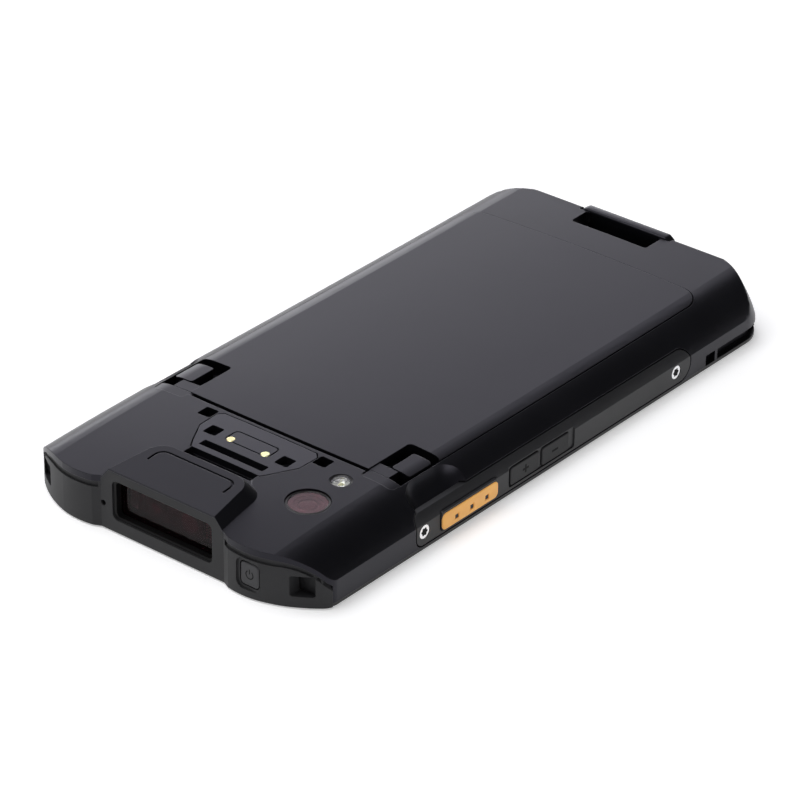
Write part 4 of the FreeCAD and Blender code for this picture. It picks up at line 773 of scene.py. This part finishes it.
@dataclass
class RearShell(Assembly):
    """The back moulding with its accessory plate, strap bar, camera and flash."""

    camera_hole: float = 4.72
    camera_glass: float = 4.1
    camera_recess: float = 0.45
    flash_hole: float = 2.4
    flash_recess: float = 1.3
    flash_rings: int = 4
    corner_low: float = 9.0
    corner_high: float = 19.0
    corner_floor: float = 4.4
    corner_top: float = 14.0
    half_width: float = 39.2
    half_length: float = 79.0
    refine_rounds: int = 6
    refine_edge: float = 1.6
    refine_margin: float = 3.0
    slot_half: float = 9.0
    slot_y: float = -60.0
    slot_width: float = 2.5
    slot_floor: float = 11.4
    inner_slot_half: float = 8.6
    inner_slot_y: float = -56.0
    inner_slot_width: float = 2.1
    inner_slot_floor: float = 9.0
    bar_shoulder: float = 2.2
    bar_web: float = 2.0

    def build(self) -> None:
        """Dress the shell and build the camera and the flash."""
        self.dress({
            "contact_pins": "contact_gold",
            "camera_module": "block_black",
            "housing_screws": "screw_steel",
            "bay_terminals": "contact_gold",
        })
        self.build_housing()
        self.build_plate()
        self.build_bar()
        self.build_camera()
        self.build_flash()

    def build_housing(self) -> None:
        """The shell with its wider camera and flash holes and its rounder far corners."""
        low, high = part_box("camera_window")
        camera = (low + high) / 2 / MM
        flash_low, flash_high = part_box("flash_lens")
        flash = (flash_low + flash_high) / 2 / MM
        source = self.frame["nodes"]["rear_housing"]
        shell = carve(source, "rear_shell", [
            cylinder_cutter(camera.x, camera.y, self.camera_hole, low.z / MM + self.camera_recess),
            cylinder_cutter(flash.x, flash.y, self.flash_hole, flash_low.z / MM + self.flash_recess),
            slot_cutter(self.slot_half, self.slot_y, self.slot_width, self.slot_floor),
        ])
        self.refine_far_corners(shell)
        normals = borrowed_normals(shell, source)
        moved = self.round_far_corners(shell)
        smooth = [Vector(entry.vector) for entry in shell.data.vertex_normals]
        for face in shell.data.polygons:
            for index in face.loop_indices:
                vert = shell.data.loops[index].vertex_index
                if vert in moved:
                    keeps = smooth[vert].dot(face.normal) > 0.8
                    normals[index] = smooth[vert] if keeps else face.normal.copy()
        shell.data.normals_split_custom_set(normals)
        self.fit(shell, "terminal", "housing_plastic", "satin_back", "rear_housing")

    def refine_far_corners(self, shell: bpy.types.Object) -> None:
        """Cut the far corners' faces up finely enough to bend.

        Args:
            shell: The shell's own mesh, which is changed.
        """
        bm = bmesh.new()
        bm.from_mesh(shell.data)
        reach_x = (self.half_width - self.corner_high - self.refine_margin) * MM
        reach_y = (self.half_length - self.corner_high - self.refine_margin) * MM
        floor = self.corner_floor * MM
        for _ in range(self.refine_rounds):
            long_edges = []
            for edge in bm.edges:
                inside = any(
                    abs(vert.co.x) > reach_x and vert.co.y > reach_y and vert.co.z > floor
                    for vert in edge.verts)
                if inside and edge.calc_length() > self.refine_edge * MM:
                    long_edges.append(edge)
            if not long_edges:
                break
            bmesh.ops.subdivide_edges(bm, edges=long_edges, cuts=1)
            bmesh.ops.triangulate(bm, faces=[face for face in bm.faces if len(face.verts) > 3])
        bm.to_mesh(shell.data)
        bm.free()
        shell.data.polygons.foreach_set("use_smooth", [True] * len(shell.data.polygons))

    def round_far_corners(self, shell: bpy.types.Object) -> set[int]:
        """Draw the far corners in towards the top, as the real shell's are.

        Args:
            shell: The shell's own mesh, which is changed.

        Returns:
            The indices of the vertices that moved.
        """
        moved = set()
        rise = self.corner_top - self.corner_floor
        for vert in shell.data.vertices:
            share = min(1.0, max(0.0, (vert.co.z / MM - self.corner_floor) / rise))
            radius = self.corner_low + (self.corner_high - self.corner_low) * share ** 1.3
            side_x = abs(vert.co.x) / MM - (self.half_width - radius)
            side_y = vert.co.y / MM - (self.half_length - radius)
            if side_x <= 0 or side_y <= 0 or share <= 0:
                continue
            reach = math.hypot(side_x, side_y)
            if reach > radius:
                pull = radius / reach
                sign = 1 if vert.co.x > 0 else -1
                vert.co.x = sign * (self.half_width - radius + side_x * pull) * MM
                vert.co.y = (self.half_length - radius + side_y * pull) * MM
                moved.add(vert.index)
        shell.data.update()
        return moved

    def build_plate(self) -> None:
        """The accessory plate with its broad slot."""
        source = self.frame["nodes"]["accessory_plate"]
        slot = slot_cutter(
            self.inner_slot_half, self.inner_slot_y, self.inner_slot_width, self.inner_slot_floor)
        plate = carve(source, "accessory_insert", [slot])
        plate.data.normals_split_custom_set(borrowed_normals(plate, source))
        self.fit(plate, "terminal", "housing_plastic", "plate_black", "accessory_plate")

    def build_bar(self) -> None:
        """The strap bar with sloping shoulders and a deep web."""
        low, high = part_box("strap_bar")
        half = high.x / MM - 0.05
        inner = half - self.bar_shoulder
        bottom = low.z / MM + 0.05
        web = bottom - self.bar_web
        top = high.z / MM - 0.05
        shoulder = top - 1.0
        outline = [(-half, bottom), (-inner, bottom), (-inner, web), (inner, web), (inner, bottom),
                   (half, bottom), (half, shoulder), (half - 1.4, top), (1.4 - half, top), (-half, shoulder)]
        y0, y1 = low.y / MM + 0.02, high.y / MM - 0.02
        bar = slab("strap_cross_bar", [outline], lambda u, v, w: Vector((u, w, v)), y0, y1)
        self.fit(eased(bar, 0.45), "terminal", "housing_plastic", "satin_back", "strap_bar")

    def build_camera(self) -> None:
        """A broad glass disc in a dark ring, over a stepped well with its lens."""
        low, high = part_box("camera_window")
        centre = Vector(((low.x + high.x) / 2, (low.y + high.y) / 2, low.z))
        wide = self.camera_glass
        outer = self.camera_hole - 0.03
        glass = turned("camera_glass", [
            (0, 0.76), (wide - 0.01, 0.76), (wide - 0.01, 0.93), (wide - 0.06, 0.98), (0, 0.98)], centre, UP)
        self.fit(glass, "terminal", "camera_glass", "camera_glass", "camera_window")
        ring = turned("camera_ring", [
            (wide, 0.46), (outer, 0.46), (outer, 1.0), (outer - 0.12, 1.08), (wide + 0.1, 1.08),
            (wide, 1.0), (wide, 0.46)], centre, UP)
        self.fit(ring, "terminal", "engine_black", "block_black")
        barrel = turned("camera_barrel", [
            (0, 0.0), (3.35, 0.0), (3.35, 0.47), (wide - 0.02, 0.47), (wide - 0.02, 0.72), (3.1, 0.68),
            (3.0, 0.52), (2.3, 0.42), (2.2, 0.2), (2.1, 0.12), (0, 0.12)], centre, UP)
        self.fit(barrel, "terminal", "engine_black", "camera_well")
        angles = [math.pi * step / 24 for step in range(13)]
        dome = [(2.0 * math.sin(angle), 0.14 + 0.42 * math.cos(angle)) for angle in angles]
        lens = turned("camera_lens", [(0, dome[0][1])] + dome[1:] + [(0, 0.14)], centre, UP)
        self.fit(lens, "terminal", "camera_glass", "camera_well")

    def build_flash(self) -> None:
        """A clear ribbed lens in a dark ring, over a reflector cup with a yellow emitter."""
        low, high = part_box("flash_lens")
        centre = Vector(((low.x + high.x) / 2, (low.y + high.y) / 2, low.z))
        radius = (high.x - low.x) / 2 / MM - 0.01
        tall = (high.z - low.z) / MM
        seat = self.flash_recess + 0.01
        outer = self.flash_hole - 0.02
        wide = self.flash_hole - 0.36
        under = [(0, 0.95)]
        for ring in range(self.flash_rings):
            start = radius * (ring + 0.4) / (self.flash_rings + 0.6)
            under += [(start, 0.95), (start + 0.02, 1.08)]
        lens = turned("flash_lens_ribbed", under + [
            (radius, 0.95), (radius, seat), (wide, seat), (wide, tall - 0.14), (wide - 0.12, tall - 0.03),
            (wide * 0.5, tall + 0.03), (0, tall + 0.04)], centre, UP)
        self.fit(lens, "terminal", "flash_clear", "flash_clear", "flash_lens")
        ring = turned("flash_ring", [
            (wide + 0.02, seat), (outer, seat), (outer, tall - 0.02), (outer - 0.08, tall + 0.03),
            (wide + 0.02, tall - 0.1), (wide + 0.02, seat)], centre, UP)
        self.fit(ring, "terminal", "engine_black", "block_black")
        cup = turned("flash_cup", [
            (0, 0.0), (radius, 0.0), (radius, 0.9), (radius - 0.12, 0.9), (0.75, 0.22),
            (0, 0.22)], centre, UP)
        self.fit(cup, "terminal", "flash_clear", "reflector")
        half = 0.55
        x, y, z = (value / MM for value in centre)
        emitter = slab(
            "flash_emitter", [rounded_box(-half, half, -half, half, 0.1)],
            lambda u, v, w: Vector((x + u, y + v, z + w)), 0.2, 0.42, 0.04)
        self.fit(emitter, "terminal", "flash_clear", "phosphor")


@dataclass
class ScannerEnd(Assembly):
    """The soft bumper with its window, imager and power button."""

    lens_x: float = 4.2
    aimer_x: float = -4.6
    highlight_dome_x: float = 0.3
    facet_x: float = 7.7
    facet_step: float = 0.95
    facet_rows: int = 9
    facet_rise: float = 0.62
    fitting_depth: float = 1.25
    rib_places: tuple[float, ...] = (-9.8, -9.2, -8.6, -2.3, -1.8, 6.9)
    rib_half: float = 2.6
    shade_frame_wall: float = 0.5
    shade_frame_inset: tuple[float, float, float] = (1.02, 0.82, 0.62)
    symbol_radius: float = 0.92
    symbol_stroke: float = 0.26

    def build(self) -> None:
        """Dress the scanner end and build what shows through its window."""
        self.dress({
            "top_bumper": "soft_bumper",
            "scan_window": "scan_glass",
            "window_gasket": "foam_gasket",
            "scan_engine": "block_black",
        })
        self.build_imager()
        self.build_painted_shade_frame()
        self.build_power_button()

    def build_painted_shade_frame(self) -> None:
        """A thin black frame inside the window's opening: painted shade where the recess walls fall in
        shadow.
        """
        low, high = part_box("scan_window")
        face = low.y / MM
        beside, below, above = self.shade_frame_inset
        wall = self.shade_frame_wall
        half = high.x / MM - beside
        bottom = low.z / MM + below
        top = high.z / MM - above
        outer = rounded_box(-half, half, bottom, top, 1.38)
        inner = rounded_box(-half + wall, half - wall, bottom + wall, top - wall, 0.95)
        bm = bmesh.new()
        loops = []
        for outline, depth in ((outer, 0.05), (outer, 1.7), (inner, 1.5), (inner, 0.05)):
            loops.append([bm.verts.new(Vector((u, face - depth, v)) * MM) for u, v in outline])
        for index, loop in enumerate(loops):
            after_loop = loops[(index + 1) % len(loops)]
            for corner in range(len(loop)):
                after = (corner + 1) % len(loop)
                bm.faces.new([loop[corner], loop[after], after_loop[after], after_loop[corner]])
        # this frame is painted shade: a near-black piece where the window's recess walls are in shadow
        self.fit(mesh_piece("window_liner", bm), "terminal", "gasket_rubber", "liner_black")

    def build_imager(self) -> None:
        """The coated lenses, the lamp dome and the small facets of the imager, the dome and the facets pale
        as painted highlights.
        """
        low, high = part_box("scan_engine")
        front = low.y / MM
        middle = (low.z + high.z) / 2 / MM
        fitting = front + self.fitting_depth
        out = Vector((0, -1, 0))
        for name, x, radius in (("imager_lens", self.lens_x, 2.3), ("aimer_lens", self.aimer_x, 1.3)):
            angles = [math.pi * step / 24 for step in range(13)]
            dome = [(radius * math.sin(angle), 0.1 + 0.5 * math.cos(angle)) for angle in angles]
            profile = [(0, 0.6)] + dome[1:] + [(radius, 0.0), (0, 0.0)]
            lens = turned(name, profile, Vector((x, front, middle)) * MM, out)
            self.fit(lens, "terminal", "engine_black", "engine_lens")
        # a white dome whose pale colour is a painted highlight
        lamp = turned("lamp_lens", [
            (0, 0.9), (0.5, 0.82), (0.85, 0.55), (1.0, 0.2), (1.0, 0.0), (0, 0.0)],
            Vector((self.highlight_dome_x, fitting, middle + 1.9)) * MM, out)
        self.fit(lamp, "terminal", "engine_black", "facet_white")
        # rows of pale facets: painted highlights for the bright streaks behind the window
        patches = []
        for column in range(3):
            for row in range(self.facet_rows):
                u = self.facet_x + column * self.facet_step
                v = middle - 2.7 + row * self.facet_rise
                patches.append(rounded_box(u, u + 0.5, v, v + 0.3, 0.08))
        facets = slab("imager_facets", patches, lambda u, v, w: Vector((u, fitting - w, v)), 0.0, 0.35, 0.06)
        self.fit(facets, "terminal", "engine_black", "facet_white")
        low_end, high_end = middle - self.rib_half, middle + self.rib_half
        bars = [rounded_box(u, u + 0.18, low_end, high_end, 0.08) for u in self.rib_places]
        ribs = slab("imager_ribs", bars, lambda u, v, w: Vector((u, fitting - w, v)), 0.0, 0.3, 0.05)
        self.fit(ribs, "terminal", "engine_black", "lens_ring")

    def build_power_button(self) -> None:
        """The power key with its dark symbol."""
        low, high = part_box("power_button")
        x = (low.x + high.x) / 2 / MM
        z = (low.z + high.z) / 2 / MM
        face = low.y / MM
        half = self.symbol_stroke / 2
        strokes = ring_stroke(x, z, self.symbol_radius, self.symbol_stroke, 125, 415)
        left, right, low_end, high_end = x - half, x + half, z + 0.15, z + 1.25
        strokes.append([(left, low_end), (right, low_end), (right, high_end), (left, high_end)])
        symbol = slab("power_symbol", strokes, lambda u, v, w: Vector((u, face - w, v)), -0.15, 0.012)
        self.fit(symbol, "power", "key_plastic", "engraving")
        self.dress({"power_button": "power_key"})


@dataclass
class SideKeys(Assembly):
    """Both key strips with their keys, symbols and screws."""

    dimple_y: tuple[float, ...] = (-32.9, -28.0, -23.1)
    dimple_z: float = 4.2
    dimple_depth: float = 0.5
    drive_shade_radius: float = 0.88
    cap_near: float = -37.35
    cap_far: float = -19.25
    cap_low: float = 2.45
    cap_high: float = 6.3
    cap_corner: float = 1.1
    cap_proud: float = 0.18
    plus_y: float = -9.5
    minus_y: float = 0.4
    symbol_z: float = 4.55
    symbol_half: float = 1.02
    symbol_upright: float = 0.95
    symbol_bar: float = 0.25

    def build(self) -> None:
        """Dress the strips and build the triggers and the symbols."""
        self.dress({
            "right_key_strip": "strip_plastic",
            "left_key_strip": "strip_plastic",
            "volume_up_key": "key_rubber",
            "volume_down_key": "key_rubber",
            "talk_button": "key_rubber",
            "key_strip_screws": "screw_steel",
            "right_key_switches": "label_film",
            "left_key_switches": "label_film",
        })
        self.build_trigger(Side.RIGHT, "scan_trigger_right", "right_trigger")
        self.build_trigger(Side.LEFT, "scan_trigger_left", "left_trigger")
        self.build_symbols()
        self.build_drive_shades()

    def build_trigger(self, side: Side, node: str, body: str) -> None:
        """One amber trigger cap with three corner-shaped dimples, on its dark base.

        Args:
            side: The side that the trigger is on.
            node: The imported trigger.
            body: The body that the trigger moves with.
        """
        low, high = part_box(node)
        face = (high.x if side is Side.RIGHT else -low.x) / MM
        outline = rounded_box(self.cap_near, self.cap_far, self.cap_low, self.cap_high, self.cap_corner)
        cap = eased(slab(node + "_cap", [outline], side_face(side, face), -0.35, self.cap_proud), 0.22)
        cutters = [self.dimple_cutter(side, face, y) for y in self.dimple_y]
        dimpled = carve(cap, node + "_amber", cutters)
        bpy.data.objects.remove(cap)
        self.fit(dimpled, body, "trigger_orange", "amber_key")
        self.dress({node: "strip_plastic"})

    def dimple_cutter(self, side: Side, face: float, y: float) -> bpy.types.Object:
        """A lopsided pyramid that cuts one corner-shaped dimple.

        Args:
            side: The side that the trigger is on.
            face: How far the trigger's base stands from the middle, in mm.
            y: The dimple's place along the trigger, in mm.

        Returns:
            The cutter.
        """
        place = side_face(side, face + self.cap_proud)
        points = (
            (-0.95, -0.85, 0.1), (0.85, -0.85, 0.1), (0.85, 0.85, 0.1), (-0.95, 0.85, 0.1),
            (0.68, -0.66, -self.dimple_depth))
        bm = bmesh.new()
        verts = [bm.verts.new(place(y + u, self.dimple_z + v, w) * MM) for u, v, w in points]
        bm.faces.new(verts[:4])
        for corner in range(4):
            bm.faces.new([verts[corner], verts[(corner + 1) % 4], verts[4]])
        return mesh_piece("cutter", bm)

    def build_symbols(self) -> None:
        """The plus and minus marks on the volume keys."""
        place = side_face(Side.RIGHT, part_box("volume_up_key")[1].x / MM)
        z, half, bar, upright = self.symbol_z, self.symbol_half, self.symbol_bar, self.symbol_upright

        def box(y: float, reach: float, low: float, high: float) -> Outline:
            """A rectangle about y."""
            return [(y - reach, z + low), (y + reach, z + low), (y + reach, z + high), (y - reach, z + high)]

        y = self.plus_y
        strokes = [box(y, half, -bar, bar), box(y, bar, bar, upright), box(y, bar, -upright, -bar)]
        plus = slab("plus_symbol", strokes, place, -0.12, 0.012)
        self.fit(plus, "volume_up", "key_plastic", "engraving")
        minus = slab("minus_symbol", [box(self.minus_y, half, -bar, bar)], place, -0.12, 0.012)
        self.fit(minus, "volume_down", "key_plastic", "engraving")

    def build_drive_shades(self) -> None:
        """The six-lobed drive in each of the strips' screws, as a flat near-black shape: painted shade
        standing for the hollow.
        """
        low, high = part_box("key_strip_screws")
        radius = (high.z - low.z) / 2 / MM
        z = (high.z + low.z) / 2 / MM
        for side in Side:
            face = high.x / MM if side is Side.RIGHT else -low.x / MM
            for end, y in (("near", low.y / MM + radius), ("far", high.y / MM - radius)):
                outline = []
                for step in range(72):
                    angle = math.tau * step / 72
                    reach = self.drive_shade_radius * (1 + 0.13 * math.cos(6 * angle))
                    outline.append((y + reach * math.cos(angle), z + reach * math.sin(angle)))
                name = f"screw_drive_shade_{side.name.lower()}_{end}"
                # painted shade: a flat near-black lobed shape where the screw's hollow drive would be shaded
                drive = slab(name, [outline], side_face(side, face), -0.3, 0.015)
                self.fit(drive, "terminal", "engine_black", "engraving")


@dataclass
class BatteryPack(Assembly):
    """The removable pack and its two latches."""

    crown_line: float = -48.0
    crown_sunk: float = 0.03
    strip_depth: float = 3.2
    strip_steps: int = 16
    lip_across: tuple[float, float] = (24.25, 29.2)
    lip_along: tuple[float, float] = (-42.0, -38.8)
    sill_across: tuple[float, float] = (23.3, 33.2)
    sill_along: tuple[float, float] = (-46.3, -42.08)

    def build(self) -> None:
        """Dress the pack, the latches and what is inside."""
        self.dress({
            "battery_cover": "satin_pack",
            "latch_left": "satin_pack",
            "latch_right": "satin_pack",
            "battery_cell": "cell_film",
            "battery_sheet": "label_film",
            "battery_contacts": "contact_gold",
            "latch_springs": "screw_steel",
        })
        for side in Side:
            self.build_lip(side)

    def build_lip(self, side: Side) -> None:
        """The pack's strip in front of one latch, and the housing's sill in front of that.

        Args:
            side: The side that the latch is on.
        """
        end = side.name.lower()
        lip = self.crowned_strip(f"pack_lip_{end}", side, self.lip_across, self.lip_along)
        self.fit(lip, "battery_pack", "pack_plastic", "satin_pack")
        sill = self.crowned_strip(f"housing_sill_{end}", side, self.sill_across, self.sill_along)
        self.fit(sill, "terminal", "housing_plastic", "satin_back")

    def crowned_strip(
        self, name: str, side: Side, across: tuple[float, float], along: tuple[float, float]
    ) -> bpy.types.Object:
        """A strip across the back whose top follows the housing's crown.

        Args:
            name: The piece's name.
            side: The long side that it lies at.
            across: Its two ends in X, in mm from the middle.
            along: Its two edges in Y, in mm.

        Returns:
            The strip.
        """
        tree = surface_tree(self.frame["nodes"]["rear_housing"].data)
        bm = bmesh.new()
        rings = []
        near, far = along
        for step in range(self.strip_steps + 1):
            x = side.value * (across[0] + (across[1] - across[0]) * step / self.strip_steps)
            hit = tree.ray_cast(Vector((x, self.crown_line, 30)) * MM, -UP)[0]
            top = hit.z / MM - self.crown_sunk
            low = top - self.strip_depth
            section = ((near, low), (near, top), (far, top), (far, low))
            rings.append([bm.verts.new(Vector((x, y, z)) * MM) for y, z in section])
        for first, second in zip(rings, rings[1:]):
            for index in range(4):
                after = (index + 1) % 4
                bm.faces.new([first[index], first[after], second[after], second[index]])
        bm.faces.new(rings[0])
        bm.faces.new(rings[-1])
        return mesh_piece(name, bm, CUT_SHARP)


@dataclass
class ScreenSide(Assembly):
    """The front rim, glass, ear-piece grille and front camera."""

    grille_half: float = 5.9
    grille_width: float = 1.2
    grille_bars: int = 26

    def build(self) -> None:
        """Dress the front and build the ear-piece grille."""
        self.dress({
            "front_frame": "rim_plastic",
            "touch_lens": "screen_glass",
            "display_panel": "display_back",
            "receiver": "capsule",
            "front_camera": "lens_ring",
        })
        self.build_grille()

    def build_grille(self) -> None:
        """A strip of fine bars behind the ear-piece slot."""
        low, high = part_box("receiver")
        middle = (low.y + high.y) / 2 / MM - 0.4
        top = low.z / MM
        half = self.grille_width / 2
        reach = self.grille_half
        bars = [rounded_box(-reach, reach, middle - half, middle - half + 0.18, 0.08),
                rounded_box(-reach, reach, middle + half - 0.18, middle + half, 0.08)]
        for index in range(self.grille_bars):
            u = -reach + 0.1 + index * (2 * reach - 0.3) / (self.grille_bars - 1)
            bars.append(rounded_box(u, u + 0.16, middle - half + 0.2, middle + half - 0.2, 0.06))
        grille = slab("ear_piece_grille", bars, lambda u, v, w: Vector((u, v, top - w)), 0.02, 0.3, 0.04)
        self.fit(grille, "terminal", "speaker_black", "mesh_steel")


@dataclass
class InnerWorks(Assembly):
    """The chassis, board and small parts that show only with the shells off."""

    def build(self) -> None:
        """Dress the inner pieces."""
        self.dress({
            "midframe": "cast_metal",
            "main_board": "solder_mask",
            "board_shields": "tin_cans",
            "usb_port": "tin_cans",
            "speaker": "capsule",
            "vibration_motor": "tin_cans",
        })


@dataclass
class Studio:
    """The pale floor, the soft lamps and the camera."""

    focal_pixels: float = 4019.0
    picture: float = 800.0
    azimuth: float = 39.18
    elevation: float = 29.78
    roll: float = 0.60
    distance: float = 860.0
    offset_x: float = 1.72
    offset_y: float = -1.81
    sensor: float = 36.0
    floor_radius: float = 6.0
    floor_lift: float = 0.40
    room_light: float = 0.10

    def build(self) -> None:
        """Set the view transform and build the stage."""
        scene = bpy.context.scene
        scene.view_settings.view_transform = "Standard"
        self.build_floor()
        self.build_world()
        self.build_lamps()
        self.build_camera()

    def build_floor(self) -> None:
        """A wide pale floor that keeps the object's shadow."""
        bm = bmesh.new()
        bmesh.ops.create_circle(bm, cap_ends=True, segments=96, radius=self.floor_radius)
        floor = mesh_piece("studio_floor", bm)
        material = bpy.data.materials.new("pale_floor")
        material.use_nodes = True
        tree = material.node_tree
        tree.nodes.clear()
        diffuse = tree.nodes.new("ShaderNodeBsdfDiffuse")
        diffuse.inputs["Color"].default_value = (0.86, 0.86, 0.87, 1)
        glow = tree.nodes.new("ShaderNodeEmission")
        path = tree.nodes.new("ShaderNodeLightPath")
        total = path.outputs["Is Camera Ray"]
        for name in ("Is Glossy Ray", "Is Transmission Ray"):
            larger = tree.nodes.new("ShaderNodeMath")
            larger.operation = "MAXIMUM"
            tree.links.new(total, larger.inputs[0])
            tree.links.new(path.outputs[name], larger.inputs[1])
            total = larger.outputs["Value"]
        lift = tree.nodes.new("ShaderNodeMath")
        lift.operation = "MULTIPLY"
        lift.inputs[1].default_value = self.floor_lift
        both = tree.nodes.new("ShaderNodeAddShader")
        output = tree.nodes.new("ShaderNodeOutputMaterial")
        tree.links.new(total, lift.inputs[0])
        tree.links.new(lift.outputs["Value"], glow.inputs["Strength"])
        tree.links.new(diffuse.outputs["BSDF"], both.inputs[0])
        tree.links.new(glow.outputs["Emission"], both.inputs[1])
        tree.links.new(both.outputs["Shader"], output.inputs["Surface"])
        floor.data.materials.append(material)

    def build_world(self) -> None:
        """A dim, even room."""
        world = bpy.data.worlds.new("studio_room")
        world.use_nodes = True
        background = world.node_tree.nodes["Background"]
        background.inputs["Color"].default_value = (0.95, 0.96, 1.0, 1)
        background.inputs["Strength"].default_value = self.room_light
        bpy.context.scene.world = world

    def add_lamp(
        self,
        name: str,
        place: tuple[float, float, float],
        size: tuple[float, float],
        power: float,
        colour: Colour,
    ) -> None:
        """A rectangular softbox that faces the object.

        Args:
            name: The lamp's name.
            place: Where it stands, in metres.
            size: Its width and height, in metres.
            power: Its power in watts.
            colour: Its colour.
        """
        data = bpy.data.lights.new(name, "AREA")
        data.shape = "RECTANGLE"
        data.size, data.size_y = size
        data.energy = power
        data.color = colour
        lamp = bpy.data.objects.new(name, data)
        lamp.location = place
        lamp.rotation_euler = (-Vector(place)).to_track_quat("-Z", "Y").to_euler()
        lamp.visible_camera = False
        bpy.context.scene.collection.objects.link(lamp)

    def build_lamps(self) -> None:
        """Softboxes behind and overhead, a weak fill at each side and a low strip behind."""
        self.add_lamp("back_softbox", (-0.85, 0.98, 0.78), (1.3, 0.75), 3.2, (0.92, 0.90, 1.0))
        self.add_lamp("top_softbox", (-0.30, -0.30, 1.25), (1.0, 1.0), 12.0, (1.0, 1.0, 1.0))
        self.add_lamp("left_fill", (-1.05, -0.55, 0.55), (0.6, 0.5), 1.2, (1.0, 1.0, 1.0))
        self.add_lamp("right_fill", (1.05, -0.35, 0.30), (0.7, 0.35), 2.6, (1.0, 0.99, 0.97))
        self.add_lamp("edge_strip", (-0.92, 0.88, 0.27), (1.1, 0.2), 3.0, (0.97, 0.97, 1.0))

    def build_camera(self) -> None:
        """The camera at the photograph's place, worked out from its angles."""
        turn = math.radians(self.azimuth)
        rise = math.radians(self.elevation)
        tilt = math.radians(self.roll)
        back = Vector((math.sin(turn) * math.cos(rise), -math.cos(turn) * math.cos(rise), math.sin(rise)))
        forward = -back
        level = forward.cross(UP).normalized()
        upright = level.cross(forward)
        right = math.cos(tilt) * level + math.sin(tilt) * upright
        up = -math.sin(tilt) * level + math.cos(tilt) * upright
        centre = (-self.offset_x * right - self.offset_y * up - self.distance * forward) * MM
        data = bpy.data.cameras.new("camera")
        data.sensor_width = self.sensor
        data.lens = self.focal_pixels / self.picture * self.sensor
        data.clip_start = 0.01
        camera = bpy.data.objects.new("camera", data)
        axes = Matrix((right, up, back)).transposed().to_4x4()
        camera.matrix_world = Matrix.Translation(centre) @ axes
        bpy.context.scene.collection.objects.link(camera)
        bpy.context.scene.camera = camera


def main() -> None:
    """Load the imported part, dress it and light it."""
    logging.basicConfig(level=logging.INFO, format="%(message)s")
    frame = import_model()
    palette = Palette()
    for assembly in (RearShell, ScannerEnd, SideKeys, BatteryPack, ScreenSide, InnerWorks):
        assembly(frame, palette).build()
        LOG.info("built %s", assembly.__name__)
    Studio().build()
    bpy.context.view_layer.update()


if __name__ == "__main__":
    main()
